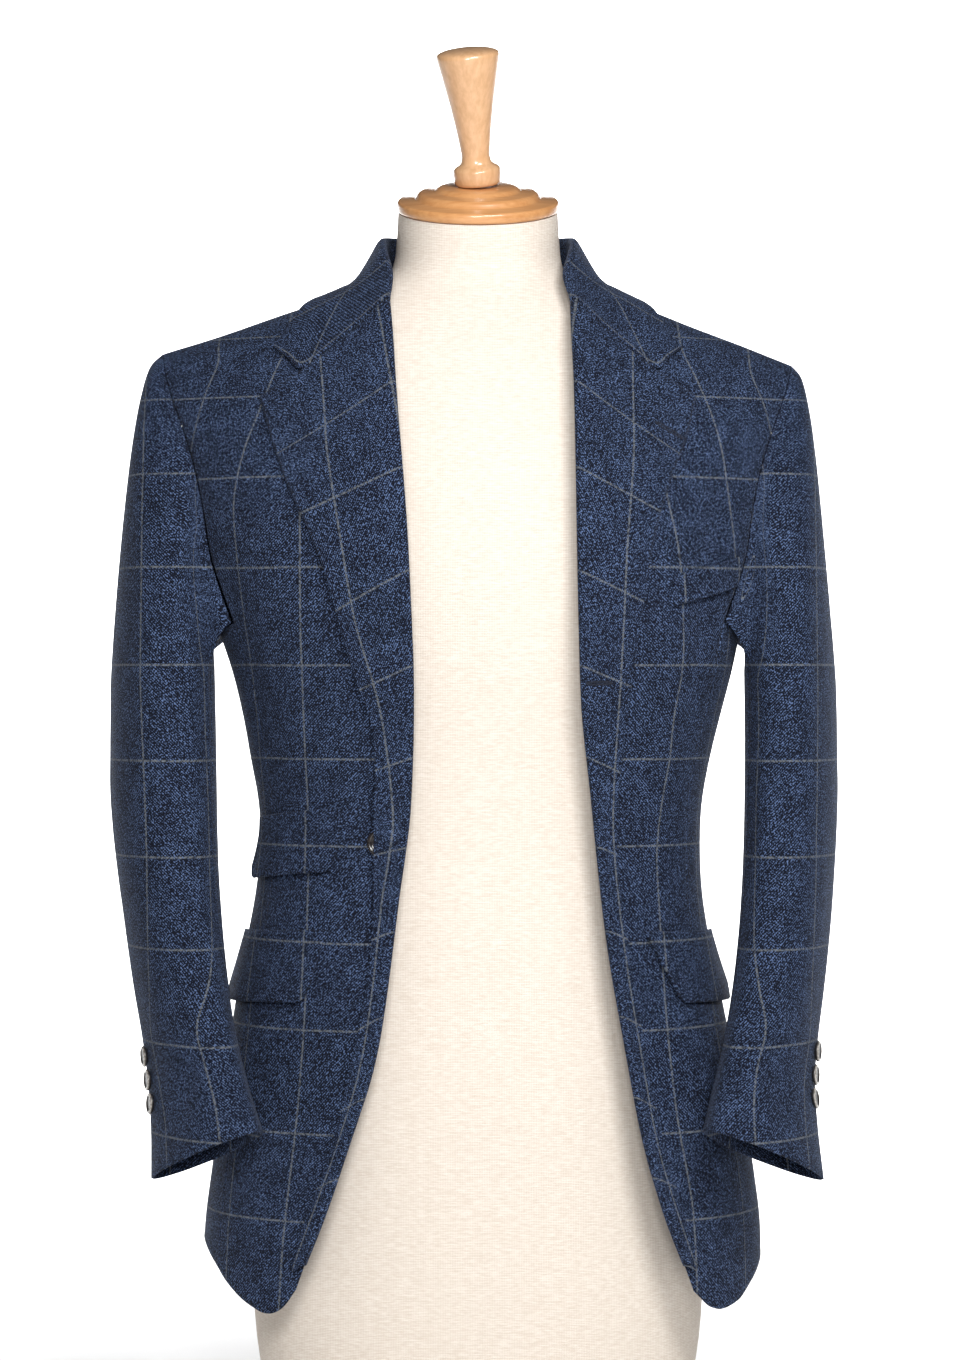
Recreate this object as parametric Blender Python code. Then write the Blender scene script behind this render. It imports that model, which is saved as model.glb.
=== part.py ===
"""Single-breasted blazer on a limbless dress form. Metres, +Z up, the front faces -Y.

The jacket is worn open: its front edges roll back from the collar to the hem. Every piece of cloth is a
thin wall on a grid of points. The body pieces share one surface, body(), which runs up the form in rounded
sections and closes along the shoulder seam. The sleeves leave the armhole that those pieces make. Lapels,
collar, flaps, welt and buttons are built from the same surfaces, moved out.

The wearer's right is at -X (SIDE -1) and the wearer's left at +X (SIDE +1). Heights are above the floor.
"""

import math
from collections import namedtuple

import bpy
import numpy as np

RIGHT, LEFT = -1, 1
SIDE_NAME = {RIGHT: "right", LEFT: "left"}

# ---- walls and gaps ------------------------------------------------------------------------------
CLOTH = 0.0016  # woollen twill with its canvas
DOUBLED = 0.0020  # lapel and collar, two layers pressed together
SEAM = 0.0003  # gap between neighbouring pieces
TOP_GAP = SEAM * 0.7  # left free by front and back each, at the shoulder seam
ARMHOLE_GAP = SEAM * 0.8  # from the body's wall to the sleeve's

# ---- the body: rounded sections up to the underarm -----------------------------------------------
Section = namedtuple("Section", "height half_right half_left front back")
BODY = (
    Section(0.080, 0.2040, 0.2090, 0.150, 0.144),  # below the hem
    Section(0.130, 0.2020, 0.2085, 0.149, 0.143),
    Section(0.180, 0.1960, 0.2030, 0.147, 0.141),
    Section(0.230, 0.1890, 0.1940, 0.144, 0.139),
    Section(0.280, 0.1820, 0.1845, 0.139, 0.136),  # hip
    Section(0.330, 0.1740, 0.1745, 0.131, 0.128),
    Section(0.375, 0.1650, 0.1660, 0.123, 0.117),
    Section(0.425, 0.1605, 0.1640, 0.118, 0.108),  # waist
    Section(0.485, 0.1690, 0.1725, 0.122, 0.112),
    Section(0.530, 0.1780, 0.1845, 0.130, 0.119),
    Section(0.578, 0.1930, 0.1950, 0.136, 0.126),  # underarm
)
UNDERARM = BODY[-1].height
SHOULDER_LEVEL = 0.780  # the level at which body() reaches the shoulder seam
CORNER = 2.4  # superellipse exponent of the sections: 2 is an ellipse
CHEST_ROUND = 2.3  # the same for the rise from the underarm to the shoulder
SHOULDER_HALF = {RIGHT: 0.2640, LEFT: 0.2600}
SHOULDER_SPREAD = 0.75  # how soon above the underarm the body widens towards them

RidgePoint = namedtuple("RidgePoint", "out height_right height_left")
SHOULDER_SEAM = (
    RidgePoint(0.050, 0.8560, 0.8560),
    RidgePoint(0.0745, 0.8370, 0.8370),  # side neck point
    RidgePoint(0.105, 0.8205, 0.8200),
    RidgePoint(0.149, 0.8050, 0.8010),
    RidgePoint(0.194, 0.7895, 0.7840),
    RidgePoint(0.227, 0.7795, 0.7710),
    RidgePoint(0.241, 0.7750, 0.7655),
)
NECK_OUT = 0.0745  # side neck point from the centre
NECK_BACK = 0.0830  # back neck seam behind the shoulder seam
NECK_NAPE = 0.8330  # height of the back neck seam at the centre

# ---- where the body is cut into pieces -----------------------------------------------------------
LOW_ROWS, FRONT_ROWS, BACK_ROWS = 15, 9, 8  # rows of cells below the underarm, and above it on front and back
FRONT_COLUMNS, SIDE_COLUMNS, BACK_NECK_COLUMNS, BACK_COLUMNS = 9, 6, 4, 5
FRONT_SEAM, BACK_SEAM, CENTRE_BACK = (math.radians(d) for d in (65.0, 116.0, 180.0))
HemPoint = namedtuple("HemPoint", "degrees height")
HEM = {
    RIGHT: (
        HemPoint(36, 0.1030),
        HemPoint(39, 0.0905),
        HemPoint(44, 0.0840),
        HemPoint(51, 0.0895),
        HemPoint(60, 0.1015),
        HemPoint(69, 0.1150),
        HemPoint(84, 0.1270),
        HemPoint(115, 0.1240),
        HemPoint(180, 0.1180),
    ),
    LEFT: (
        HemPoint(45, 0.1000),
        HemPoint(48.5, 0.0895),
        HemPoint(54, 0.0850),
        HemPoint(61, 0.0885),
        HemPoint(69, 0.0985),
        HemPoint(79, 0.1100),
        HemPoint(92, 0.1190),
        HemPoint(115, 0.1225),
        HemPoint(180, 0.1180),
    ),
}
HEM_LEVEL = 0.085  # nominal: the rows of points level out from the hem's own line to EVEN_LEVEL
EVEN_LEVEL = 0.220

# The front edge of the cloth, where it rolls back. out is measured from the centre line.
EdgePoint = namedtuple("EdgePoint", "height out")
FRONT_EDGE = {
    RIGHT: (
        EdgePoint(0.1030, 0.1300),
        EdgePoint(0.2023, 0.0950),
        EdgePoint(0.2734, 0.0740),
        EdgePoint(0.3800, 0.0598),
        EdgePoint(0.4512, 0.0513),
        EdgePoint(0.5223, 0.0492),
        EdgePoint(0.6218, 0.0527),
        EdgePoint(0.7356, 0.0612),
        EdgePoint(0.8080, 0.0665),
        EdgePoint(0.8370, 0.0745),
    ),
    LEFT: (
        EdgePoint(0.1000, 0.1550),
        EdgePoint(0.1597, 0.1338),
        EdgePoint(0.2094, 0.1196),
        EdgePoint(0.2663, 0.1089),
        EdgePoint(0.3516, 0.0947),
        EdgePoint(0.4512, 0.0840),
        EdgePoint(0.5223, 0.0769),
        EdgePoint(0.5934, 0.0748),
        EdgePoint(0.7356, 0.0723),
        EdgePoint(0.8080, 0.0697),
        EdgePoint(0.8370, 0.0745),
    ),
}
ARMHOLE_FRONT = (
    EdgePoint(0.5780, 0.1790),
    EdgePoint(0.5950, 0.1865),
    EdgePoint(0.6150, 0.1925),
    EdgePoint(0.6400, 0.1965),
    EdgePoint(0.6670, 0.2005),
    EdgePoint(0.6900, 0.2057),
    EdgePoint(0.7150, 0.2135),
    EdgePoint(0.7380, 0.2220),
    EdgePoint(0.7580, 0.2285),
    EdgePoint(0.7800, 0.2325),
)
ARMHOLE_BACK = (
    EdgePoint(0.5780, 0.1790),
    EdgePoint(0.5950, 0.1880),
    EdgePoint(0.6200, 0.1965),
    EdgePoint(0.6600, 0.2045),
    EdgePoint(0.7000, 0.2120),
    EdgePoint(0.7400, 0.2225),
    EdgePoint(0.7800, 0.2325),
)
ARMHOLE_DIP = 0.0060  # how far the underarm lies below UNDERARM
DIP_SOON = 8  # exponent: the rows of the side piece bend to that dip only near its top
SEAM_LEAN = 6  # exponent: how late, on the way up, the side seams lean into the armhole's ends

# ---- lapel and turned-back edge ------------------------------------------------------------------
TurnPoint = namedtuple("TurnPoint", "edge_height turned_height turned_out")
TURN_BACK = {
    RIGHT: (
        TurnPoint(0.1200, 0.1160, 0.1305),
        TurnPoint(0.1500, 0.1450, 0.1240),
        TurnPoint(0.2023, 0.1950, 0.1060),
        TurnPoint(0.2734, 0.2650, 0.0890),
        TurnPoint(0.3400, 0.3350, 0.0760),
        TurnPoint(0.4200, 0.4150, 0.0725),
        TurnPoint(0.5000, 0.4900, 0.0725),
        TurnPoint(0.5450, 0.5290, 0.0835),
        TurnPoint(0.5900, 0.5650, 0.0945),
        TurnPoint(0.6500, 0.6215, 0.1110),
        TurnPoint(0.7150, 0.6790, 0.1365),
        TurnPoint(0.7650, 0.7080, 0.1470),
        TurnPoint(0.8080, 0.7405, 0.1565),
    ),
    LEFT: (
        TurnPoint(0.1180, 0.1145, 0.1545),
        TurnPoint(0.1550, 0.1500, 0.1465),
        TurnPoint(0.2094, 0.2020, 0.1320),
        TurnPoint(0.2663, 0.2600, 0.1200),
        TurnPoint(0.3400, 0.3350, 0.1080),
        TurnPoint(0.4200, 0.4150, 0.0985),
        TurnPoint(0.4800, 0.4700, 0.1005),
        TurnPoint(0.5350, 0.5220, 0.1068),
        TurnPoint(0.5934, 0.5750, 0.1145),
        TurnPoint(0.6500, 0.6250, 0.1220),
        TurnPoint(0.7150, 0.6790, 0.1365),
        TurnPoint(0.7650, 0.7080, 0.1480),
        TurnPoint(0.8080, 0.7410, 0.1565),
    ),
}
# The roll, seen in section: distance past the cloth's edge, and height over the front's outer face.
RollPoint = namedtuple("RollPoint", "past over")
ROLL = (
    RollPoint(0.0014, -0.0008),
    RollPoint(0.0027, -0.0001),
    RollPoint(0.0035, 0.0019),
    RollPoint(0.0022, 0.0039),
    RollPoint(-0.0020, 0.0046),
)
NARROW = 0.0200  # a turned edge narrower than this has a tighter roll
LOOK_AHEAD = 0.0100  # how far along the front the direction of a row is taken
LAPEL_COLUMNS = (0.22, 0.45, 0.667, 0.84, 1.0)  # shares of the way to the turned edge; the notch is at 0.667
LIFT_AT_ROLL, LIFT_AT_EDGE = 0.0044, 0.0024  # the doubled cloth's middle over the front's outer face
NOTCH_DROP = 0.0050  # the gorge seam runs this far below the straight line at the notch
DROP_SOON = 12  # exponent: the lapel's rows bend to that line only near its top
LAPEL_ROWS = 26

# ---- collar --------------------------------------------------------------------------------------
# Stations from the gorge round to the centre back: the neck edge's corner the stand rises from, the break
# line, the lower edge of the fall, and how far the fall hangs below the straight line between them.
CollarPoint = namedtuple(
    "CollarPoint",
    "corner break_out break_y break_height fall_out fall_y fall_height hollow",
)
COLLAR = (
    CollarPoint(1.0, 0.0655, -0.0560, 0.8335, 0.1405, -0.0620, 0.7860, 0.002),
    CollarPoint(2.0, 0.0690, -0.0330, 0.8490, 0.1290, -0.0370, 0.8020, 0.007),
    CollarPoint(3.0, 0.0715, -0.0030, 0.8595, 0.1170, -0.0020, 0.8165, 0.010),
    CollarPoint(3.5, 0.0710, 0.0150, 0.8635, 0.1125, 0.0200, 0.8172, 0.009),
    CollarPoint(4.0, 0.0685, 0.0330, 0.8660, 0.1060, 0.0420, 0.8165, 0.007),
    CollarPoint(5.0, 0.0540, 0.0600, 0.8680, 0.0830, 0.0730, 0.8160, 0.003),
    CollarPoint(6.0, 0.0290, 0.0770, 0.8690, 0.0430, 0.0960, 0.8175, 0.000),
    CollarPoint(7.0, 0.0000, 0.0825, 0.8700, 0.0000, 0.1045, 0.8185, 0.000),
)
COLLAR_FOLD = 0.0030  # half the width of the fold at the break line
COLLAR_POINT = EdgePoint(0.7760, 0.1480)
LIFT_AT_POINT = 0.0028  # the collar's middle over the front's outer face at its point
GORGE_END = 0.8080  # height at which the gorge seam meets the roll
COLLAR_ROWS = 5  # points across the fall
COLLAR_LIFT = 0.0034  # the collar's middle over the shoulder, at least
STEEPEST = 0.3  # the upward part of the shoulder's normal counts as this at least
GORGE_GAP = 0.0006
STAND_GAP = 0.0026  # from the neck seam to the middle of the stand

# ---- sleeves -------------------------------------------------------------------------------------
# turn is how far the flat of the sleeve is turned towards the front, slant the share of the cuff's slope.
Ring = namedtuple("Ring", "height inner outer middle_y reach turn slant")
SLEEVE = {
    RIGHT: (
        Ring(0.540, 0.1940, 0.2722, -0.002, 0.0700, 11, 0.0),
        Ring(0.500, 0.1930, 0.2725, -0.005, 0.0690, 12, 0.0),
        Ring(0.455, 0.1920, 0.2720, -0.011, 0.0670, 13, 0.0),
        Ring(0.410, 0.1905, 0.2675, -0.021, 0.0650, 14, 0.0),
        Ring(0.365, 0.1870, 0.2605, -0.035, 0.0630, 16, 0.05),
        Ring(0.320, 0.1815, 0.2525, -0.053, 0.0610, 19, 0.18),
        Ring(0.280, 0.1750, 0.2440, -0.071, 0.0590, 23, 0.38),
        Ring(0.245, 0.1665, 0.2380, -0.088, 0.0570, 27, 0.60),
        Ring(0.215, 0.1580, 0.2350, -0.102, 0.0560, 31, 0.82),
        Ring(0.197, 0.1525, 0.2340, -0.113, 0.0555, 33, 1.0),
    ),
    LEFT: (
        Ring(0.540, 0.1960, 0.2655, -0.002, 0.0700, 11, 0.0),
        Ring(0.500, 0.1963, 0.2665, -0.005, 0.0690, 12, 0.0),
        Ring(0.455, 0.1958, 0.2665, -0.011, 0.0670, 13, 0.0),
        Ring(0.410, 0.1943, 0.2640, -0.021, 0.0650, 14, 0.0),
        Ring(0.365, 0.1910, 0.2600, -0.035, 0.0630, 16, 0.05),
        Ring(0.320, 0.1855, 0.2540, -0.053, 0.0610, 19, 0.18),
        Ring(0.280, 0.1785, 0.2475, -0.071, 0.0590, 23, 0.38),
        Ring(0.245, 0.1710, 0.2440, -0.088, 0.0570, 27, 0.60),
        Ring(0.215, 0.1640, 0.2460, -0.102, 0.0560, 31, 0.82),
        Ring(0.197, 0.1605, 0.2475, -0.113, 0.0555, 33, 1.0),
    ),
}
SLEEVE_CORNER = 2.15  # superellipse exponent of the rings
CUFF_SLOPE_OUT, CUFF_SLOPE_BACK = 0.35, 0.20  # fall of the cuff's edge for each metre outwards and backwards
FORE_SEAM, HIND_SEAM = 0.365, -0.125  # shares of the way round: 0 outside, 0.25 front, 0.5 inside
HEAD_RINGS, SLEEVE_BODY_RINGS = 7, 13
HeadShape = namedtuple("HeadShape", "leave arrive")  # how far the sleevehead stands out at its start and end
HEAD = {RIGHT: HeadShape(0.0150, 0.0060), LEFT: HeadShape(0.0110, 0.0080)}
HEAD_LEAVE = 0.0070  # the same under the arm, where the sleeve also leaves downwards by HEAD_DIP
HEAD_DIP = 0.0060
HEAD_SETTLE = 0.46  # share of the drop over which the sleevehead settles onto the first ring
HEAD_CROWD = 0.9  # below 1, the sleevehead's rings crowd a little towards the first full ring
SEAM_EASE = 2.8  # how much wider the sleeve seams open, in seam gaps, where the wall bends under the arm
SEAM_EASE_ROW, SEAM_EASE_ROWS = 2.5, 2.0  # the ring where they open most, and over how many rings

# ---- pockets -------------------------------------------------------------------------------------
# degrees are round the body from the centre front; near is the end towards the centre.
Flap = namedtuple("Flap", "side near far top_near top_far near_low far_low depth corner")
FLAPS = {
    "ticket_flap_right": Flap(RIGHT, 33.0, 76.0, 0.4455, 0.4370, 35.0, 79.0, 0.0465, 0.009),
    "hip_flap_right": Flap(RIGHT, 35.5, 88.0, 0.3575, 0.3530, 39.0, 88.0, 0.0520, 0.011),
    "hip_flap_left": Flap(LEFT, 40.5, 88.0, 0.3560, 0.3530, 49.0, 88.0, 0.0520, 0.012),
}
FLAP_WALL = 0.0018
FLAP_LIFT_TOP = 0.0012  # gap to the body at a flap's sewn edge
FLAP_LIFT_NEAR, FLAP_LIFT_FAR = 0.0022, 0.0050  # gap at its lower corners, towards the front and the side
FLAP_SWING = 1.5  # exponent: how late, on the way down, a flap swings out
FLAP_COLUMNS = (0, 0.03, 0.075, 0.15, 0.32, 0.5, 0.68, 0.85, 0.925, 0.97, 1)  # closer at the rounded corners
FLAP_ROWS, WELT_COLUMNS, WELT_ROWS = 3, 7, 2
METRES_A_DEGREE = 0.0026  # round the body at the pockets, near enough for the corners' rounding
Welt = namedtuple("Welt", "near far top_near top_far depth")
WELT = Welt(39.5, 64.5, 0.6115, 0.6270, 0.0230)
WELT_LIFT = 0.0009

# ---- buttons -------------------------------------------------------------------------------------
FRONT_BUTTON_RADIUS, FRONT_BUTTON_THICK = 0.0100, 0.0032
FRONT_BUTTON_HEIGHT, FRONT_BUTTON_OUT = 0.4200, 0.0690
FRONT_BUTTON_GAP = 0.0010  # under the button, where its thread shank is
BUTTON_BULGE, BUTTON_BULGE_HALF = 0.0040, 0.040  # how far, and how far along, the turned edge rides over it
CUFF_BUTTON_RADIUS, CUFF_BUTTON_THICK = 0.0077, 0.0030
CUFF_BUTTON_HEIGHTS = {RIGHT: (0.2640, 0.2477, 0.2314), LEFT: (0.2675, 0.2512, 0.2349)}
CUFF_BUTTON_ROUND = HIND_SEAM + 0.072  # share of the way round
CUFF_BUTTON_GAP = 0.0009
ROUND_STEP, UP_STEP = 0.01, 0.004  # how far away the cuff's slope under a button is taken
BUTTON_SIDES = 16
Turned = namedtuple("Turned", "along radius")
BUTTON = (  # as shares of a button's thickness and radius
    Turned(0.00, 0.82),
    Turned(0.35, 1.00),
    Turned(0.75, 0.98),
    Turned(1.00, 0.86),  # rim
    Turned(0.78, 0.66),  # dished face
)

# ---- the dress form ------------------------------------------------------------------------------
FormRing = namedtuple("FormRing", "height half front back corner")
FORM = (
    FormRing(0.0000, 0.150, 0.104, 0.106, 2.2),
    FormRing(0.0060, 0.156, 0.110, 0.112, 2.2),
    FormRing(0.0700, 0.165, 0.118, 0.121, 2.2),
    FormRing(0.1600, 0.166, 0.122, 0.125, 2.2),
    FormRing(0.2500, 0.160, 0.120, 0.123, 2.2),  # hip
    FormRing(0.3300, 0.148, 0.111, 0.111, 2.2),
    FormRing(0.4100, 0.139, 0.102, 0.097, 2.2),  # waist
    FormRing(0.4800, 0.147, 0.106, 0.099, 2.2),
    FormRing(0.5500, 0.166, 0.117, 0.109, 2.2),
    FormRing(0.6100, 0.178, 0.121, 0.114, 2.2),  # chest
    FormRing(0.6600, 0.185, 0.116, 0.112, 2.2),
    FormRing(0.7050, 0.194, 0.107, 0.107, 2.15),
    FormRing(0.7400, 0.200, 0.096, 0.100, 2.1),
    FormRing(0.7625, 0.199, 0.088, 0.088, 2.05),
    FormRing(0.7830, 0.182, 0.079, 0.080, 2.0),
    FormRing(0.7986, 0.150, 0.071, 0.0735, 2.0),
    FormRing(0.8116, 0.118, 0.064, 0.0690, 2.0),
    FormRing(0.8228, 0.091, 0.058, 0.0690, 2.0),
    FormRing(0.8340, 0.068, 0.054, 0.0690, 2.0),
    FormRing(0.8450, 0.0620, 0.0540, 0.0695, 2.0),
    FormRing(0.8600, 0.0602, 0.0565, 0.0645, 2.0),
)
FORM_SIDES = 32
FORM_SLOPE = 0.006  # the form's right shoulder is a little higher: the slope across, from FORM_SLOPED up
FORM_LEVEL, FORM_SLOPED = 0.620, 0.740
NECK_TOP = 0.8830  # height of the middle of the neck's slanted top
NECK_TOP_RADIUS, NECK_TOP_Y = 0.0590, -0.0010
NECK_TILT = math.radians(16)  # the neck's top faces up and a little forwards
FINIAL_LEAN = math.radians(4.5)  # towards the wearer's right

NECK_CAP = (  # along and radius in metres
    Turned(0.0000, 0.0580),
    Turned(0.0012, 0.0600),
    Turned(0.0066, 0.0600),
    Turned(0.0082, 0.0585),
    Turned(0.0092, 0.0465),
    Turned(0.0126, 0.0450),
    Turned(0.0144, 0.0425),
    Turned(0.0150, 0.0320),
    Turned(0.0172, 0.0300),
    Turned(0.0184, 0.0270),
)
FINIAL = (
    Turned(0.0000, 0.0150),
    Turned(0.0014, 0.0170),
    Turned(0.0100, 0.0178),
    Turned(0.0130, 0.0168),
    Turned(0.0152, 0.0124),
    Turned(0.0172, 0.0112),
    Turned(0.0220, 0.0104),
    Turned(0.0400, 0.0128),
    Turned(0.0600, 0.0162),
    Turned(0.0800, 0.0203),
    Turned(0.0935, 0.0231),
    Turned(0.0962, 0.0233),
    Turned(0.0982, 0.0218),
    Turned(0.0998, 0.0165),
    Turned(0.1008, 0.0085),
)
TURNED_SIDES = 28

# ---- colours: base colour, roughness, metallic ---------------------------------------------------
FINISHES = {
    "blue_wool": ((0.045, 0.065, 0.135, 1), 0.9, 0.0),
    "horn_pale": ((0.55, 0.50, 0.44, 1), 0.35, 0.0),
    "horn_dark": ((0.02, 0.018, 0.016, 1), 0.25, 0.0),
    "canvas": ((0.86, 0.79, 0.72, 1), 0.85, 0.0),
    "beech": ((0.72, 0.42, 0.20, 1), 0.35, 0.0),
}


# ==================================================================================================
# Small tools
# ==================================================================================================


def curve(keys, values):
    """A smooth function through (keys, values) that never overshoots them (a monotone cubic)."""
    keys, values = np.array(keys, float), np.array(values, float)
    steps = np.diff(keys)
    slopes = np.diff(values) / steps
    tangents = np.concatenate([[slopes[0]], np.zeros(len(keys) - 2), [slopes[-1]]])
    for i in range(1, len(keys) - 1):
        before, after = slopes[i - 1], slopes[i]
        if before * after > 0:
            tangents[i] = 2 * before * after / (before + after)

    def value(key):
        key = np.clip(key, keys[0], keys[-1])
        i = np.clip(np.searchsorted(keys, key) - 1, 0, len(steps) - 1)
        s = (key - keys[i]) / steps[i]
        return (
            values[i] * (1 + 2 * s) * (1 - s) ** 2
            + tangents[i] * steps[i] * s * (1 - s) ** 2
            + values[i + 1] * s * s * (3 - 2 * s)
            + tangents[i + 1] * steps[i] * s * s * (s - 1)
        )

    return value


def table_curve(rows, key, column):
    """curve() through two named columns of a table."""
    ordered = sorted(rows, key=lambda row: getattr(row, key))
    return curve([getattr(r, key) for r in ordered], [getattr(r, column) for r in ordered])


def unit(vector):
    return vector / np.maximum(np.linalg.norm(vector, axis=-1, keepdims=True), 1e-12)


def bowed(value, exponent):
    """A cosine or sine turned into that of a superellipse with this exponent."""
    return np.sign(value) * np.abs(value) ** (2 / exponent)


def trimmed(grid, bottom=0.0, top=0.0, first=0.0, last=0.0):
    """The grid (rows, columns, xyz) with its outer rows and columns drawn in by these distances."""
    grid = grid.copy()
    grid[0] += unit(grid[1] - grid[0]) * bottom
    grid[-1] += unit(grid[-2] - grid[-1]) * top
    grid[:, 0] += unit(grid[:, 1] - grid[:, 0]) * first
    grid[:, -1] += unit(grid[:, -2] - grid[:, -1]) * last
    return grid


def grid_normals(grid):
    """Unit normals of a grid of points, by the differences along its rows and columns."""
    along = np.gradient(grid, axis=0)
    across = np.gradient(grid, axis=1)
    return unit(np.cross(across, along))


# ==================================================================================================
# Blender objects
# ==================================================================================================


def start():
    for thing in list(bpy.data.objects):
        bpy.data.objects.remove(thing)
    for name, (colour, roughness, metallic) in FINISHES.items():
        material = bpy.data.materials.new(name)
        material.use_nodes = True
        shader = material.node_tree.nodes["Principled BSDF"]
        shader.inputs["Base Color"].default_value = colour
        shader.inputs["Roughness"].default_value = roughness
        shader.inputs["Metallic"].default_value = metallic


def solid(name, points, faces, finish):
    """One object from points and faces, turned to face outwards."""
    points = np.asarray(points, float)
    volume = 0.0
    for face in faces:
        a = points[face[0]]
        for b, c in zip(face[1:-1], face[2:]):
            volume += np.dot(a, np.cross(points[b], points[c]))
    if volume < 0:
        faces = [tuple(reversed(face)) for face in faces]
    mesh = bpy.data.meshes.new(name)
    mesh.from_pydata([tuple(p) for p in points], [], faces)
    mesh.materials.append(bpy.data.materials[finish])
    mesh.shade_smooth()
    mesh.set_sharp_from_angle(angle=math.radians(40))
    thing = bpy.data.objects.new(name, mesh)
    bpy.context.scene.collection.objects.link(thing)
    return thing


def cloth(name, outer, thickness, finish="blue_wool", middle=False, normals=None):
    """A wall of cloth on a grid whose normals face out. middle: the grid is in the middle of the wall."""
    normals = grid_normals(outer) if normals is None else normals
    if middle:
        outer = outer + normals * thickness / 2
    inner = outer - normals * thickness
    rows, columns = outer.shape[:2]
    points = np.concatenate([outer.reshape(-1, 3), inner.reshape(-1, 3)])
    under = rows * columns

    def at(row, column):
        return row * columns + column

    faces = []
    for r in range(rows - 1):
        for c in range(columns - 1):
            cell = (at(r, c), at(r, c + 1), at(r + 1, c + 1), at(r + 1, c))
            faces.append(cell)
            faces.append(tuple(under + i for i in reversed(cell)))
    rim = [at(0, c) for c in range(columns)]
    rim += [at(r, columns - 1) for r in range(1, rows)]
    rim += [at(rows - 1, c) for c in range(columns - 2, -1, -1)]
    rim += [at(r, 0) for r in range(rows - 2, 0, -1)]
    for a, b in zip(rim, rim[1:] + rim[:1]):
        faces.append((b, a, under + a, under + b))
    return solid(name, points, faces, finish)


def stacked(name, rings, finish):
    """A closed body through rings of points, with a flat cap at each end."""
    count, sides = rings.shape[:2]
    faces = [tuple(range(sides)), tuple(reversed(range((count - 1) * sides, count * sides)))]
    for r in range(count - 1):
        for c in range(sides):
            d = (c + 1) % sides
            faces.append((r * sides + c, (r + 1) * sides + c, (r + 1) * sides + d, r * sides + d))
    return solid(name, rings.reshape(-1, 3), faces, finish)


def turned(name, profile, base, axis, finish, sides=TURNED_SIDES):
    """A turned body: rings of the profile's radii along an axis from a base point."""
    axis = unit(np.array(axis, float))
    across = unit(np.cross(axis, (0.0, 1.0, 0.0) if abs(axis[1]) < 0.9 else (1.0, 0.0, 0.0)))
    other = np.cross(axis, across)
    around = np.linspace(0, 2 * math.pi, sides, endpoint=False)[:, None]
    wheel = np.cos(around) * across + np.sin(around) * other
    rings = [np.array(base) + axis * p.along + wheel * p.radius for p in profile]
    return stacked(name, np.array(rings), finish)


# ==================================================================================================
# The body surface
# ==================================================================================================

HALF = {
    RIGHT: table_curve(BODY, "height", "half_right"),
    LEFT: table_curve(BODY, "height", "half_left"),
}
FRONT_DEPTH = table_curve(BODY, "height", "front")
BACK_DEPTH = table_curve(BODY, "height", "back")
RIDGE = {
    RIGHT: table_curve(SHOULDER_SEAM, "out", "height_right"),
    LEFT: table_curve(SHOULDER_SEAM, "out", "height_left"),
}
HEM_LINE = {side: table_curve(HEM[side], "degrees", "height") for side in HEM}
EDGE_OUT = {side: table_curve(FRONT_EDGE[side], "height", "out") for side in FRONT_EDGE}


def rise_of(level):
    """0 up to the underarm, 1 at the shoulder seam."""
    return np.clip((level - UNDERARM) / (SHOULDER_LEVEL - UNDERARM), 0, 1)


def half_width(side, level):
    rise = rise_of(level)
    under = HALF[side](np.minimum(level, UNDERARM))
    return under + (SHOULDER_HALF[side] - under) * rise**SHOULDER_SPREAD


def top_line(side, out, behind):
    """Where a column of the body ends: y and height of the shoulder seam, or of the back neck seam."""
    seam = RIDGE[side](out)
    if not behind:
        return np.zeros_like(seam), seam
    share = np.clip(out / NECK_OUT, 0, 1)
    y = NECK_BACK * np.sqrt(1 - share**2)
    nape = NECK_NAPE + (RIDGE[side](NECK_OUT) - NECK_NAPE) * share**2
    return y, np.where(out < NECK_OUT, nape, seam)


def body(side, angle, level):
    """A point of the jacket's outer face. angle runs from 0 at the centre front round to the centre back."""
    height = np.minimum(level, UNDERARM)
    rise = rise_of(level) * math.pi / 2
    out = half_width(side, level) * bowed(np.sin(angle), CORNER)
    behind = angle > math.pi / 2
    depth = BACK_DEPTH(height) if behind else FRONT_DEPTH(height)
    level_y = -depth * bowed(np.cos(angle), CORNER)
    top_y, top_height = top_line(side, out, behind)
    up = bowed(np.sin(rise), CHEST_ROUND)
    kept = bowed(np.cos(rise), CHEST_ROUND)
    return np.array([side * out, top_y + (level_y - top_y) * kept, height + (top_height - height) * up])


def body_normal(side, angle, level):
    step = 1e-4
    around = body(side, angle + step, level) - body(side, angle - step, level)
    upward = body(side, angle, level + step) - body(side, angle, level - step)
    return unit(side * np.cross(around, upward))


def angle_at(side, out, level):
    """The angle at which a level of the body lies this far out."""
    share = np.clip(out / half_width(side, level), 0, 1)
    return math.asin(share ** (CORNER / 2))


def height_of(side, out, level, behind=False):
    """The real height of a level at this distance out."""
    if level <= UNDERARM:
        return level
    up = bowed(math.sin(rise_of(level) * math.pi / 2), CHEST_ROUND)
    return UNDERARM + (top_line(side, out, behind)[1] - UNDERARM) * up


def level_of(side, out, height):
    """The level whose real height at this distance out is height."""
    if height <= UNDERARM:
        return height
    up = min((height - UNDERARM) / (RIDGE[side](out) - UNDERARM), 1.0)
    return UNDERARM + (SHOULDER_LEVEL - UNDERARM) * math.asin(up ** (CHEST_ROUND / 2)) * 2 / math.pi


def out_on(side, line, level, behind=False):
    """How far out a line given by real height crosses a level."""
    out = float(line(level))
    for _ in range(8):
        out = float(line(height_of(side, out, level, behind)))
    return out


def front_at(side, out, height, over=0.0):
    """A point over the front's outer face, by its distance out and its height."""
    level = level_of(side, out, height)
    angle = angle_at(side, out, level)
    return body(side, angle, level) + body_normal(side, angle, level) * over


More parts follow.
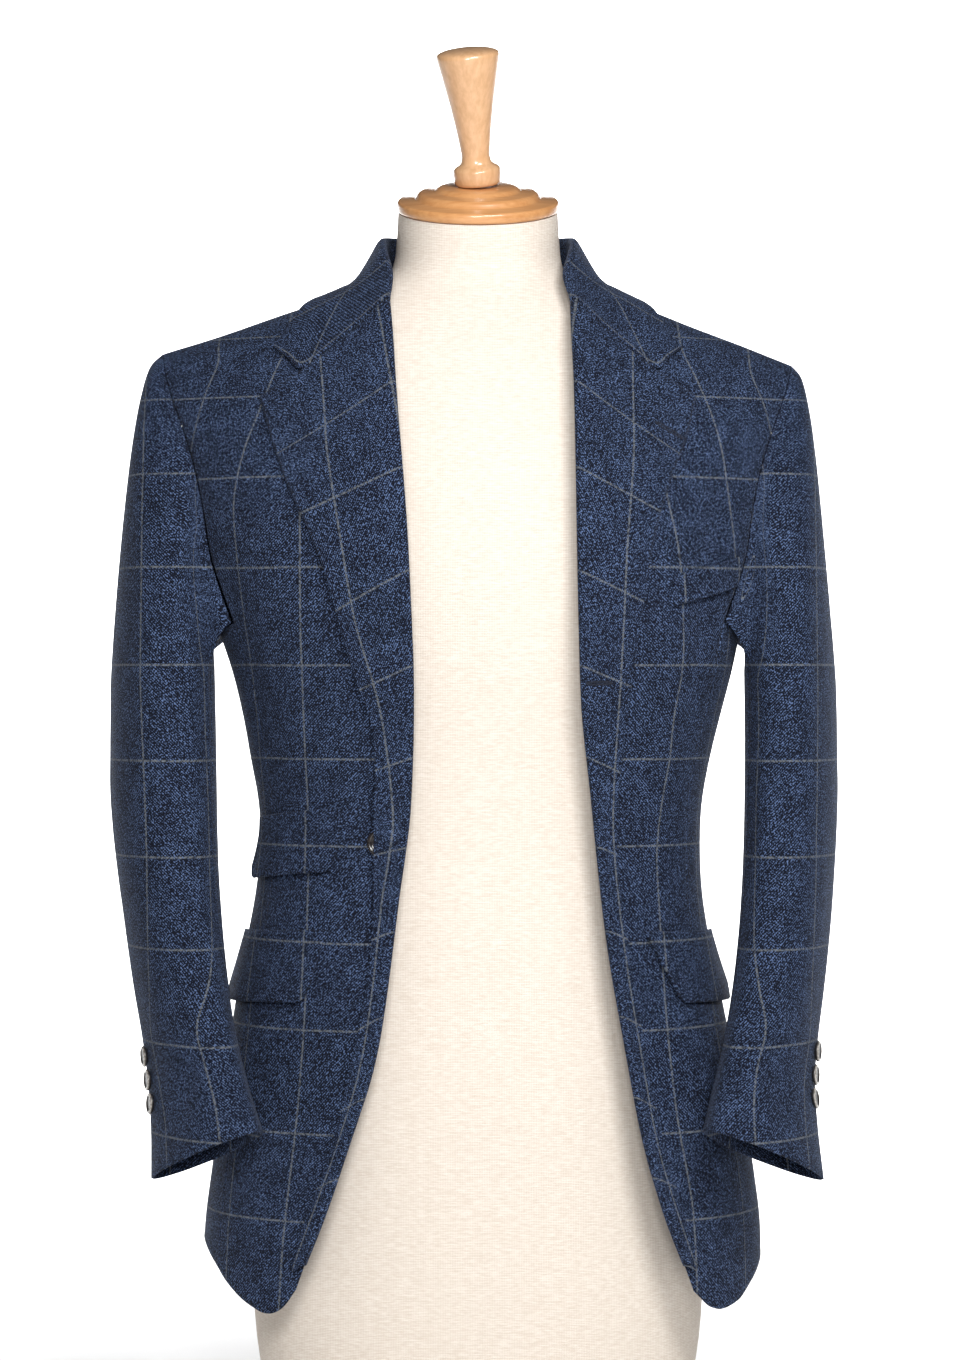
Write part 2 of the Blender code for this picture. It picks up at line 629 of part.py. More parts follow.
ARM_LINE = {
    False: table_curve(ARMHOLE_FRONT, "height", "out"),
    True: table_curve(ARMHOLE_BACK, "height", "out"),
}


def arm_angle(side, level, behind):
    """The angle of the armhole's front or back branch at a level above the underarm."""
    angle = angle_at(side, out_on(side, ARM_LINE[behind], level, behind), level)
    return math.pi - angle if behind else angle


def underarm_level(angle):
    """The level at which the side piece ends below the armhole."""
    low, high = arm_angle(LEFT, UNDERARM, False), math.pi / 2
    return UNDERARM - ARMHOLE_DIP * (1 - ((angle - high) / (high - low)) ** 2)


def levelled(side, angle, level):
    """A nominal level moved so that the lowest row follows the hem."""
    if level >= EVEN_LEVEL:
        return level
    hem = HEM_LINE[side](math.degrees(angle))
    return hem + (level - HEM_LEVEL) * (EVEN_LEVEL - hem) / (EVEN_LEVEL - HEM_LEVEL)


# ==================================================================================================
# Body pieces
# ==================================================================================================


def body_cloth(name, side, cells, **trims):
    """A piece of the body on rows of (angle, level), with the body's own normals so that seams match."""
    grid = trimmed(np.array([[body(side, a, h) for a, h in row] for row in cells]), **trims)
    normals = np.array([[body_normal(side, a, h) for a, h in row] for row in cells])
    if (side == RIGHT) == (cells[0][0][0] < cells[0][-1][0]):
        grid, normals = grid[:, ::-1], normals[:, ::-1]
    return cloth(name, grid, CLOTH, normals=normals)


def rows_up(count):
    """Levels from the hem to the underarm, and this many more up to the shoulder seam."""
    low = np.linspace(HEM_LEVEL, UNDERARM, LOW_ROWS + 1)
    return list(low) + list(upper_levels(count)[1:])


def upper_levels(count):
    return np.linspace(UNDERARM, SHOULDER_LEVEL, count + 1)


def seam_angle(side, seam, behind, level):
    """The angle of a side seam at a level, leaning into the armhole's end on its way up."""
    return seam + (arm_angle(side, UNDERARM, behind) - seam) * (level / UNDERARM) ** SEAM_LEAN


def front_piece(side):
    shares = np.linspace(0, 1, FRONT_COLUMNS + 1)
    hem_start = math.radians(HEM[side][0].degrees)
    rows = []
    for level in rows_up(FRONT_ROWS):
        edge_level = levelled(side, hem_start, level)
        inner = angle_at(side, out_on(side, EDGE_OUT[side], edge_level), edge_level)
        if level <= UNDERARM:
            outer = seam_angle(side, FRONT_SEAM, False, level)
        else:
            outer = arm_angle(side, level, False)
        angles = inner + (outer - inner) * shares
        rows.append([(a, levelled(side, max(a, hem_start), level)) for a in angles])
    return body_cloth(f"front_{SIDE_NAME[side]}", side, rows, top=TOP_GAP, last=SEAM / 2)


def side_piece(side):
    rows = []
    for share in np.linspace(0, 1, LOW_ROWS + 1):
        row = []
        for across in np.linspace(0, 1, SIDE_COLUMNS + 1):
            nominal = HEM_LEVEL + (UNDERARM - HEM_LEVEL) * share
            first = seam_angle(side, FRONT_SEAM, False, nominal)
            last = seam_angle(side, BACK_SEAM, True, nominal)
            angle = first + (last - first) * across
            level = levelled(side, angle, nominal)
            level -= (UNDERARM - underarm_level(angle)) * share**DIP_SOON
            row.append((angle, level))
        rows.append(row)
    half = SEAM / 2
    return body_cloth(f"side_{SIDE_NAME[side]}", side, rows, top=half, first=half, last=half)


def neck_outs():
    """How far out the corners of the back neck seam lie, from the centre back to the shoulder."""
    return NECK_OUT * np.sin(np.linspace(0, math.pi / 2, BACK_NECK_COLUMNS + 1))


def back_piece(side):
    whole = angle_at(side, ARMHOLE_BACK[-1].out, SHOULDER_LEVEL)
    shares = [angle_at(side, out, SHOULDER_LEVEL) / whole for out in neck_outs()]
    shares += list(np.linspace(shares[-1], 1, BACK_COLUMNS + 1)[1:])
    rows = []
    for level in rows_up(BACK_ROWS):
        if level <= UNDERARM:
            outer = seam_angle(side, BACK_SEAM, True, level)
        else:
            outer = arm_angle(side, level, True)
        angles = CENTRE_BACK + (outer - CENTRE_BACK) * np.array(shares)
        rows.append([(a, levelled(side, a, level)) for a in angles])
    half = SEAM / 2
    return body_cloth(f"back_{SIDE_NAME[side]}", side, rows, top=TOP_GAP, first=half, last=half)


def outward(grid, side):
    """The grid with its columns ordered so that its normals face out of the body."""
    return grid if side == LEFT else grid[:, ::-1]


# ==================================================================================================
# Lapels and turned-back edges
# ==================================================================================================


def turned_row(side, edge_height, turned_height, turned_out, notch_drop=0.0):
    """One row of the lapel's middle surface: round the roll, then out to the turned edge."""
    edge_out = float(EDGE_OUT[side](edge_height))
    root = front_at(side, edge_out, edge_height)
    level = level_of(side, edge_out, edge_height)
    normal = body_normal(side, angle_at(side, edge_out, level), level)
    fall = (turned_height - edge_height) / (turned_out - edge_out)
    ahead = front_at(side, edge_out + LOOK_AHEAD, edge_height + LOOK_AHEAD * fall)
    past = unit(root - ahead)
    narrow = min((turned_out - edge_out) / NARROW, 1.0)
    row = [root + past * (p.past if p.past > 0 else p.past * narrow) + normal * p.over for p in ROLL]
    for share in LAPEL_COLUMNS:
        out = edge_out + (turned_out - edge_out) * share
        height = edge_height + (turned_height - edge_height) * share
        height -= notch_drop * math.sin(math.pi * share)
        lift = LIFT_AT_ROLL + (LIFT_AT_EDGE - LIFT_AT_ROLL) * share
        if side == RIGHT:
            near = (height - FRONT_BUTTON_HEIGHT) / BUTTON_BULGE_HALF
            lift += BUTTON_BULGE * math.exp(-near * near)
        row.append(front_at(side, out, height, lift))
    return row


def lapel(side):
    table = TURN_BACK[side]
    bottom, top = table[0].edge_height, table[-1].edge_height
    turned_height = table_curve(table, "edge_height", "turned_height")
    turned_out = table_curve(table, "edge_height", "turned_out")
    rows = []
    for share in np.linspace(0, 1, LAPEL_ROWS + 1):
        height = bottom + (top - bottom) * share
        drop = NOTCH_DROP * share**DROP_SOON
        rows.append(turned_row(side, height, float(turned_height(height)), float(turned_out(height)), drop))
    grid = trimmed(np.array(rows), top=GORGE_GAP)
    return cloth(f"lapel_{SIDE_NAME[side]}", outward(grid, side), DOUBLED, middle=True)


# ==================================================================================================
# Collar
# ==================================================================================================


def shoulder_under(side, out, y):
    """The jacket's face straight below or above a point over the shoulder, and its normal."""
    behind = y > 0
    low, high = UNDERARM, SHOULDER_LEVEL
    for _ in range(30):
        level = (low + high) / 2
        angle = angle_at(side, out, level)
        angle = math.pi - angle if behind else angle
        below = abs(body(side, angle, level)[1]) > abs(y)
        low, high = (level, high) if below else (low, level)
    return body(side, angle, level), body_normal(side, angle, level)


def gorge_section(side):
    """The collar's front end: round the roll like the lapel, along the gorge seam, and out to its point."""
    top = TURN_BACK[side][-1]
    row = turned_row(side, GORGE_END, top.turned_height, top.turned_out, NOTCH_DROP)
    notch = row[len(ROLL) + LAPEL_COLUMNS.index(0.667)]
    fall = row[len(ROLL) : len(ROLL) + 2] + [notch]
    point = front_at(side, COLLAR_POINT.out, COLLAR_POINT.height, LIFT_AT_POINT)
    return row[: len(ROLL)] + fall + [(notch + point) / 2, point]


def collar_section(side, seam, station):
    """From the neck seam up the stand, over the break line and down the fall."""
    crest = np.array([side * station.break_out, station.break_y, station.break_height])
    end = np.array([side * station.fall_out, station.fall_y, station.fall_height])
    outwards = unit((end - crest) * (1, 1, 0))
    stand_top = crest - outwards * COLLAR_FOLD - (0, 0, COLLAR_FOLD)
    fall_top = crest + outwards * COLLAR_FOLD - (0, 0, COLLAR_FOLD)
    foot, past = seam
    foot = foot + past * STAND_GAP
    row = [foot, foot + (stand_top - foot) * 0.5, stand_top, crest, fall_top]
    for share in np.linspace(0, 1, COLLAR_ROWS + 1)[1:]:
        p = fall_top + (end - fall_top) * share - (0, 0, station.hollow * math.sin(math.pi * share))
        face, normal = shoulder_under(side, abs(p[0]), p[1])
        p[2] = max(p[2], face[2] + COLLAR_LIFT / max(normal[2], STEEPEST))
        row.append(p)
    return row


def neck_corners(side):
    """Corners of the neck edge, mid-wall, from the gorge to the centre back, and the way past each."""
    corners, past = [], []
    for level in upper_levels(FRONT_ROWS)[:-1]:
        out = out_on(side, EDGE_OUT[side], level)
        angle = angle_at(side, out, level)
        if height_of(side, out, level) > GORGE_END:
            inside = body(side, angle, level) - body(side, angle + 0.02, level)
            corners.append(body(side, angle, level) - body_normal(side, angle, level) * CLOTH / 2)
            past.append(unit(inside))
    for out in neck_outs()[::-1]:
        y, height = top_line(side, out, True)
        corners.append(np.array([side * out, float(y), float(height) - CLOTH / 2]))
        past.append(-unit(np.array([side * out, float(y), 0.0])))
    return np.array(corners), np.array(past)


def neck_seam(side, corner):
    """A point between two corners of the neck edge, and the way past it."""
    low = min(int(corner), len(neck_corners(side)[0]) - 2)
    corners, past = (rows[low] + (rows[low + 1] - rows[low]) * (corner - low) for rows in neck_corners(side))
    return corners, unit(past)


def collar():
    sections = []
    for side in (RIGHT, LEFT):
        half = [gorge_section(side)]
        half += [collar_section(side, neck_seam(side, s.corner), s) for s in COLLAR]
        half = np.array(half)
        sections.append(half if side == RIGHT else half[-2::-1])
    grid = trimmed(np.concatenate(sections), bottom=GORGE_GAP, top=GORGE_GAP)
    return cloth("collar", grid[::-1], DOUBLED, middle=True)


# ==================================================================================================
# Sleeves
# ==================================================================================================


def armhole_branch(side, behind, levels, side_columns):
    """The armhole from the shoulder tip down its front or back to the underarm."""
    points = [body(side, arm_angle(side, level, behind), level) for level in levels[::-1]]
    start_angle = arm_angle(side, UNDERARM, behind)
    for angle in np.linspace(start_angle, math.pi / 2, side_columns + 1)[1:]:
        points.append(body(side, angle, underarm_level(angle)))
    return np.array(points)


def armhole(side):
    """The corners of the body's cells round the armhole, and each one's share of the way round."""
    points, shares = [], []
    for behind, rows in ((False, FRONT_ROWS), (True, BACK_ROWS)):
        branch = armhole_branch(side, behind, upper_levels(rows), SIDE_COLUMNS // 2)
        lengths = np.concatenate([[0], np.cumsum(np.linalg.norm(np.diff(branch, axis=0), axis=1))])
        share = lengths / lengths[-1] / 2
        if behind:
            branch, share = branch[-2:0:-1], 1 - share[-2:0:-1]
        points += list(branch)
        shares += list(share)
    return np.array(points), np.array(shares)


def ring_point(side, ring, turn_share):
    """A point of a sleeve ring's outer face: 0 is its outside, 0.25 its front, 0.5 its inside."""
    turn = math.radians(ring.turn)
    half = (ring.outer - ring.inner) / 2
    middle = (ring.outer + ring.inner) / 2
    short = math.sqrt(half**2 - (ring.reach * math.sin(turn)) ** 2) / math.cos(turn)
    sideways = short * bowed(math.cos(2 * math.pi * turn_share), SLEEVE_CORNER)
    forward = ring.reach * bowed(math.sin(2 * math.pi * turn_share), SLEEVE_CORNER)
    out = sideways * math.cos(turn) - forward * math.sin(turn)
    front = sideways * math.sin(turn) + forward * math.cos(turn)
    drop = ring.slant * (CUFF_SLOPE_OUT * out - CUFF_SLOPE_BACK * front)
    return np.array([side * (middle + out), ring.middle_y - front, ring.height - drop])


def ring_at(side, height):
    """The sleeve's ring at a height between those of the table."""
    columns = [table_curve(SLEEVE[side], "height", name) for name in Ring._fields[1:]]
    return Ring(height, *(float(column(height)) for column in columns))


def head_curve(side, start_point, end_point, turn_share):
    """The sleevehead: a curve from the armhole out and down to the first full ring."""
    top = (1 + math.cos(2 * math.pi * turn_share)) / 2  # 1 on the outside, 0 at the underarm
    drop = start_point[2] - end_point[2]
    leave = np.array([side * (HEAD_LEAVE + HEAD[side].leave * top), 0.0, -HEAD_DIP * (1 - top)])
    arrive = np.array([-side * HEAD[side].arrive * top, 0.0, drop * HEAD_SETTLE])
    gap = np.array([side * ARMHOLE_GAP, 0, 0])
    return start_point + gap, start_point + leave, end_point + arrive, end_point


def bezier(control, share):
    a, b, c, d = control
    rest = 1 - share
    return a * rest**3 + 3 * b * rest**2 * share + 3 * c * rest * share**2 + d * share**3


def sleeve_grid(side):
    """The whole sleeve, ring by ring, and the share of the way round of its columns."""
    starts, shares = armhole(side)
    first = SLEEVE[side][0]
    controls = [head_curve(side, p, ring_point(side, first, t), t) for p, t in zip(starts, shares)]
    head_shares = np.linspace(0, 1, HEAD_RINGS + 1)[:-1] ** HEAD_CROWD
    rows = [[bezier(c, share) for c in controls] for share in head_shares]
    for height in np.linspace(first.height, SLEEVE[side][-1].height, SLEEVE_BODY_RINGS):
        ring = ring_at(side, height)
        rows.append([ring_point(side, ring, t) for t in shares])
    return np.array(rows), shares


def sleeve(side):
    grid, shares = sleeve_grid(side)
    normals = grid_normals(np.concatenate([grid[:, -1:], grid, grid[:, :1]], axis=1))[:, 1:-1] * side
    normals[0] = unit(normals[0] * (0, 1, 1))  # the wall meets the body's wall edge to edge
    rows = np.arange(len(grid))[:, None]
    near = (rows - SEAM_EASE_ROW) / SEAM_EASE_ROWS
    seam = TOP_GAP + SEAM * SEAM_EASE * np.exp(-near * near)
    count = len(shares)
    fore = int(np.argmin(abs(shares - FORE_SEAM)))
    hind = int(np.argmin(abs(shares - (HIND_SEAM + 1))))
    spans = {"top_sleeve": range(hind - count, fore + 1), "under_sleeve": range(fore, hind + 1)}
    for name, span in spans.items():
        columns = [i % count for i in span]
        piece = trimmed(grid[:, columns], first=seam, last=seam)
        piece_normals = normals[:, columns]
        cloth(f"{name}_{SIDE_NAME[side]}", outward(piece, side), CLOTH, normals=outward(piece_normals, side))


# ==================================================================================================
# Pockets
# ==================================================================================================


def patch(name, side, near, far, top, bottom, lift_top, lift_near, lift_far, wall, columns, rows):
    """A piece that lies on the body between two angles; top and bottom are functions of the share across."""
    grid = []
    for down in np.linspace(1, 0, rows + 1):
        row = []
        for across in columns:
            angle = math.radians(near(down) + (far(down) - near(down)) * across)
            height = top(across) + (bottom(across) - top(across)) * down
            out = half_width(side, height) * bowed(math.sin(angle), CORNER)
            level = height if height <= UNDERARM else level_of(side, out, height)
            lift_low = lift_near + (lift_far - lift_near) * across * across
            over = wall + lift_top + (lift_low - lift_top) * down**FLAP_SWING
            row.append(body(side, angle, level) + body_normal(side, angle, level) * over)
        grid.append(row)
    return cloth(name, outward(np.array(grid), side), wall)


def flap(name, size):
    corner = size.corner / (METRES_A_DEGREE * (size.far - size.near))

    def top(across):
        return size.top_near + (size.top_far - size.top_near) * across

    def bottom(across):
        to_end = min(across, 1 - across)
        inside = max(1 - to_end / corner, 0)
        return top(across) - size.depth + size.corner * (1 - math.sqrt(1 - inside**2))

    return patch(
        name,
        size.side,
        lambda down: size.near + (size.near_low - size.near) * down,
        lambda down: size.far + (size.far_low - size.far) * down,
        top,
        bottom,
        FLAP_LIFT_TOP,
        FLAP_LIFT_NEAR,
        FLAP_LIFT_FAR,
        FLAP_WALL,
        FLAP_COLUMNS,
        FLAP_ROWS,
    )


def welt():
    def top(across):
        return WELT.top_near + (WELT.top_far - WELT.top_near) * across

    return patch(
        "breast_welt",
        LEFT,
        lambda down: WELT.near,
        lambda down: WELT.far,
        top,
        lambda across: top(across) - WELT.depth,
        WELT_LIFT,
        WELT_LIFT,
        WELT_LIFT,
        FLAP_WALL,
        np.linspace(0, 1, WELT_COLUMNS + 1),
        WELT_ROWS,
    )


# ==================================================================================================
# Buttons
# ==================================================================================================


def button(name, middle, normal, radius, thick, finish):
    profile = [Turned(p.along * thick, p.radius * radius) for p in BUTTON]
    return turned(name, profile, middle, normal, finish, BUTTON_SIDES)


def front_button():
    level = FRONT_BUTTON_HEIGHT
    angle = angle_at(RIGHT, FRONT_BUTTON_OUT, level)
    normal = body_normal(RIGHT, angle, level)
    middle = body(RIGHT, angle, level) + normal * FRONT_BUTTON_GAP
    button("front_button", middle, normal, FRONT_BUTTON_RADIUS, FRONT_BUTTON_THICK, "horn_dark")


def cuff_face(side, turn_share, height):
    """A point of the sleeve's outer face at this real height, found by moving along its slanted rings."""
    ring_height = height
    for _ in range(12):
        ring_height += height - ring_point(side, ring_at(side, ring_height), turn_share)[2]
    return ring_point(side, ring_at(side, ring_height), turn_share)


def cuff_buttons(side):
    for number, height in enumerate(CUFF_BUTTON_HEIGHTS[side], 1):
        middle = cuff_face(side, CUFF_BUTTON_ROUND, height)
        before = cuff_face(side, CUFF_BUTTON_ROUND - ROUND_STEP, height)
        after = cuff_face(side, CUFF_BUTTON_ROUND + ROUND_STEP, height)
        upward = cuff_face(side, CUFF_BUTTON_ROUND, height + UP_STEP) - middle
        normal = unit(side * np.cross(upward, after - before))
        seat = middle + normal * CUFF_BUTTON_GAP
        name = f"cuff_button_{SIDE_NAME[side]}_{number}"
        button(name, seat, normal, CUFF_BUTTON_RADIUS, CUFF_BUTTON_THICK, "horn_pale")


# ==================================================================================================
# Dress form
# ==================================================================================================


def dress_form():
    around = np.linspace(0, 2 * math.pi, FORM_SIDES, endpoint=False)
    rings = []
    for ring in FORM:
        x = ring.half * bowed(np.sin(around), ring.corner)
        depth = np.where(np.cos(around) > 0, ring.front, ring.back)
        y = -depth * bowed(np.cos(around), ring.corner)
        sloped = np.clip((ring.height - FORM_LEVEL) / (FORM_SLOPED - FORM_LEVEL), 0, 1)
        rings.append(np.stack([x, y, ring.height - x * FORM_SLOPE * sloped], axis=-1))
    x = NECK_TOP_RADIUS * np.sin(around)
    y = -NECK_TOP_RADIUS * np.cos(around) * math.cos(NECK_TILT)
    z = NECK_TOP + y * math.tan(NECK_TILT)
    rings.append(np.stack([x, NECK_TOP_Y + y, z], axis=-1))
    stacked("form_torso", np.array(rings), "canvas")


def neck_woodwork():
    up = unit(np.array([0.0, -math.sin(NECK_TILT), math.cos(NECK_TILT)]))
    base = np.array([0.0, NECK_TOP_Y, NECK_TOP]) + up * SEAM
    turned("neck_cap", NECK_CAP, base, up, "beech")
    lean = math.sin(FINIAL_LEAN)
    axis = unit(up + np.array([-lean, 0.0, 0.0]))
    foot = base + up * (NECK_CAP[-1].along + SEAM + FINIAL[0].radius * lean)
    turned("finial", FINIAL, foot, axis, "beech")


def main():
    start()
    for side in (RIGHT, LEFT):
        front_piece(side)
        side_piece(side)
        back_piece(side)
        lapel(side)
        sleeve(side)
        cuff_buttons(side)
    collar()
    for name, size in FLAPS.items():
        flap(name, size)
    welt()
    front_button()
    dress_form()
    neck_woodwork()


main()
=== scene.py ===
# %% [markdown]
# # A wool blazer on a dress form
#
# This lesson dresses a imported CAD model: a single-breasted blazer that hangs open on a limbless dress form. The CAD
# model gives every piece its place and its plain shape. Here each piece of cloth becomes a thin shell with rounded
# edges, soft creases and its own pattern map, and the wood, canvas and horn get their finishes.
#
# The wearer's right is at -X (side -1), the wearer's left at +X (side +1), and the front faces -Y.

# %% Load the frame
import math
from collections import namedtuple

import bpy
import numpy as np
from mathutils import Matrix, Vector


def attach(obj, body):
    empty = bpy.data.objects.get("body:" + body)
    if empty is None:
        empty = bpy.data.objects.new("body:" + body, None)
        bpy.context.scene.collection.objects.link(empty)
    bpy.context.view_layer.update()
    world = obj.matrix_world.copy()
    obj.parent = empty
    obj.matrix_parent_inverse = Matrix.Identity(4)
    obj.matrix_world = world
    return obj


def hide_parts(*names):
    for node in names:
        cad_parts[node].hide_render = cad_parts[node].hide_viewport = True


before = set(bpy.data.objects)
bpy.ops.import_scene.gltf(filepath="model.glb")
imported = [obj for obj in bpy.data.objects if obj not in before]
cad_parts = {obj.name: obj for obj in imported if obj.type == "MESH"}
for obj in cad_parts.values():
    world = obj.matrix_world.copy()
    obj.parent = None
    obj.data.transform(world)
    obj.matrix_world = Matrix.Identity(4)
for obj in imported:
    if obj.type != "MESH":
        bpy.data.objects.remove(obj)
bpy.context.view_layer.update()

RIGHT, LEFT = -1, 1
SIDE_NAME = {RIGHT: "right", LEFT: "left"}

# %% [markdown]
# ## Smooth functions from short tables
#
# A tailor's draft is a short list of measures with smooth lines between them. The same idea works here: each table
# holds a few named measures, and a monotone cubic joins them without overshooting. Straight lines would leave
# corners in the cloth, and a plain spline could bulge between two measures that are nearly the same.


# %% Curves through tables
def curve(keys, values):
    """A smooth function through (keys, values) that never overshoots them (a monotone cubic)."""
    keys, values = np.array(keys, float), np.array(values, float)
    steps = np.diff(keys)
    slopes = np.diff(values) / steps
    tangents = np.concatenate([[slopes[0]], np.zeros(len(keys) - 2), [slopes[-1]]])
    for i in range(1, len(keys) - 1):
        before, after = slopes[i - 1], slopes[i]
        if before * after > 0:
            tangents[i] = 2 * before * after / (before + after)

    def value(key):
        key = np.clip(key, keys[0], keys[-1])
        i = np.clip(np.searchsorted(keys, key) - 1, 0, len(steps) - 1)
        s = (key - keys[i]) / steps[i]
        return (
            values[i] * (1 + 2 * s) * (1 - s) ** 2
            + tangents[i] * steps[i] * s * (1 - s) ** 2
            + values[i + 1] * s * s * (3 - 2 * s)
            + tangents[i + 1] * steps[i] * s * s * (s - 1)
        )

    return value


def table_curve(rows, key, column):
    """curve() through two named columns of a table."""
    ordered = sorted(rows, key=lambda row: getattr(row, key))
    return curve([getattr(r, key) for r in ordered], [getattr(r, column) for r in ordered])


def line_through(*pairs):
    """curve() through (key, value) pairs in rising order of their keys."""
    return curve([key for key, _ in pairs], [value for _, value in pairs])


def rows_of(kind, *values):
    """A table whose rows share the named columns of kind."""
    return tuple(kind(*row) for row in values)


def unit(vector):
    return vector / np.maximum(np.linalg.norm(vector, axis=-1, keepdims=True), 1e-12)


def bowed(value, exponent):
    """A cosine or sine turned into that of a superellipse with this exponent."""
    return np.sign(value) * np.abs(value) ** (2 / exponent)


# %% [markdown]
# ## The measures of the jacket
#
# The jacket is drawn from the same measures as its CAD model, because the finer cloth has to lie where the plain
# cloth lies. The body is a stack of rounded sections that closes along the shoulder seam. The other tables say where
# the body is cut into pieces, where the front edge rolls back, and how the collar, sleeves and pockets run.

# %% Measures
# Walls and gaps
CLOTH = 0.0016  # woollen twill with its canvas
DOUBLED = 0.0020  # lapel and collar, two layers pressed together
SEAM = 0.0003  # gap between neighbouring pieces

# The body: rounded sections up to the underarm
Section = namedtuple("Section", "height half_right half_left front back")
BODY = rows_of(
    Section,
    (0.080, 0.2040, 0.2090, 0.150, 0.144),  # below the hem
    (0.130, 0.2020, 0.2085, 0.149, 0.143),
    (0.180, 0.1960, 0.2030, 0.147, 0.141),
    (0.230, 0.1890, 0.1940, 0.144, 0.139),
    (0.280, 0.1820, 0.1845, 0.139, 0.136),  # hip
    (0.330, 0.1740, 0.1745, 0.131, 0.128),
    (0.375, 0.1650, 0.1660, 0.123, 0.117),
    (0.425, 0.1605, 0.1640, 0.118, 0.108),  # waist
    (0.485, 0.1690, 0.1725, 0.122, 0.112),
    (0.530, 0.1780, 0.1845, 0.130, 0.119),
    (0.578, 0.1930, 0.1950, 0.136, 0.126),  # underarm
)
UNDERARM = BODY[-1].height
SHOULDER_LEVEL = 0.780  # the level at which body() reaches the shoulder seam
CORNER = 2.4  # superellipse exponent of the sections: 2 is an ellipse
CHEST_ROUND = 2.3  # the same for the rise from the underarm to the shoulder
SHOULDER_HALF = {RIGHT: 0.2640, LEFT: 0.2600}
SHOULDER_SPREAD = 0.75  # how soon above the underarm the body widens towards them

RidgePoint = namedtuple("RidgePoint", "out height_right height_left")
SHOULDER_SEAM = rows_of(
    RidgePoint, (0.050, 0.8560, 0.8560), (0.0745, 0.8370, 0.8370),  # side neck point
    (0.105, 0.8205, 0.8200), (0.149, 0.8050, 0.8010), (0.194, 0.7895, 0.7840), (0.227, 0.7795, 0.7710),
    (0.241, 0.7750, 0.7655),
)
NECK_OUT = 0.0745  # side neck point from the centre
NECK_BACK = 0.0830  # back neck seam behind the shoulder seam
NECK_NAPE = 0.8330  # height of the back neck seam at the centre

# Where the body is cut into pieces
LOW_ROWS, FRONT_ROWS, BACK_ROWS = 15, 9, 8  # rows of cells below the underarm, and above it on front and back
FRONT_COLUMNS, SIDE_COLUMNS, BACK_NECK_COLUMNS, BACK_COLUMNS = 9, 6, 4, 5
FRONT_SEAM, BACK_SEAM, CENTRE_BACK = (math.radians(d) for d in (65.0, 116.0, 180.0))
HemPoint = namedtuple("HemPoint", "degrees height")
HEM = {
    RIGHT: rows_of(
        HemPoint, (36, 0.1030), (39, 0.0905), (44, 0.0840), (51, 0.0895), (60, 0.1015), (69, 0.1150),
        (84, 0.1270), (115, 0.1240), (180, 0.1180),
    ),
    LEFT: rows_of(
        HemPoint, (45, 0.1000), (48.5, 0.0895), (54, 0.0850), (61, 0.0885), (69, 0.0985), (79, 0.1100),
        (92, 0.1190), (115, 0.1225), (180, 0.1180),
    ),
}
HEM_LEVEL = 0.085  # nominal: the rows of points level out from the hem's own line to EVEN_LEVEL
EVEN_LEVEL = 0.220

# The front edge of the cloth, where it rolls back. out is measured from the centre line.
EdgePoint = namedtuple("EdgePoint", "height out")
FRONT_EDGE = {
    RIGHT: rows_of(
        EdgePoint, (0.1030, 0.1300), (0.2023, 0.0950), (0.2734, 0.0740), (0.3800, 0.0598), (0.4512, 0.0513),
        (0.5223, 0.0492), (0.6218, 0.0527), (0.7356, 0.0612), (0.8080, 0.0665), (0.8370, 0.0745),
    ),
    LEFT: rows_of(
        EdgePoint, (0.1000, 0.1550), (0.1597, 0.1338), (0.2094, 0.1196), (0.2663, 0.1089), (0.3516, 0.0947),
        (0.4512, 0.0840), (0.5223, 0.0769), (0.5934, 0.0748), (0.7356, 0.0723), (0.8080, 0.0697),
        (0.8370, 0.0745),
    ),
}
ARMHOLE_FRONT = rows_of(
    EdgePoint, (0.5780, 0.1790), (0.5950, 0.1865), (0.6150, 0.1925), (0.6400, 0.1965), (0.6670, 0.2005),
    (0.6900, 0.2057), (0.7150, 0.2135), (0.7380, 0.2220), (0.7580, 0.2285), (0.7800, 0.2325),
)
ARMHOLE_BACK = rows_of(
    EdgePoint, (0.5780, 0.1790), (0.5950, 0.1880), (0.6200, 0.1965), (0.6600, 0.2045), (0.7000, 0.2120),
    (0.7400, 0.2225), (0.7800, 0.2325),
)
ARMHOLE_DIP = 0.0060  # how far the underarm lies below UNDERARM

# Lapel and turned-back edge
TurnPoint = namedtuple("TurnPoint", "edge_height turned_height turned_out")
TURN_BACK = {
    RIGHT: rows_of(
        TurnPoint, (0.1200, 0.1160, 0.1305), (0.1500, 0.1450, 0.1240), (0.2023, 0.1950, 0.1060),
        (0.2734, 0.2650, 0.0890), (0.3400, 0.3350, 0.0760), (0.4200, 0.4150, 0.0725),
        (0.5000, 0.4900, 0.0725), (0.5450, 0.5290, 0.0835), (0.5900, 0.5650, 0.0945),
        (0.6500, 0.6215, 0.1110), (0.7150, 0.6790, 0.1365), (0.7650, 0.7080, 0.1470),
        (0.8080, 0.7405, 0.1565),
    ),
    LEFT: rows_of(
        TurnPoint, (0.1180, 0.1145, 0.1545), (0.1550, 0.1500, 0.1465), (0.2094, 0.2020, 0.1320),
        (0.2663, 0.2600, 0.1200), (0.3400, 0.3350, 0.1080), (0.4200, 0.4150, 0.0985),
        (0.4800, 0.4700, 0.1005), (0.5350, 0.5220, 0.1068), (0.5934, 0.5750, 0.1145),
        (0.6500, 0.6250, 0.1220), (0.7150, 0.6790, 0.1365), (0.7650, 0.7080, 0.1480),
        (0.8080, 0.7410, 0.1565),
    ),
}
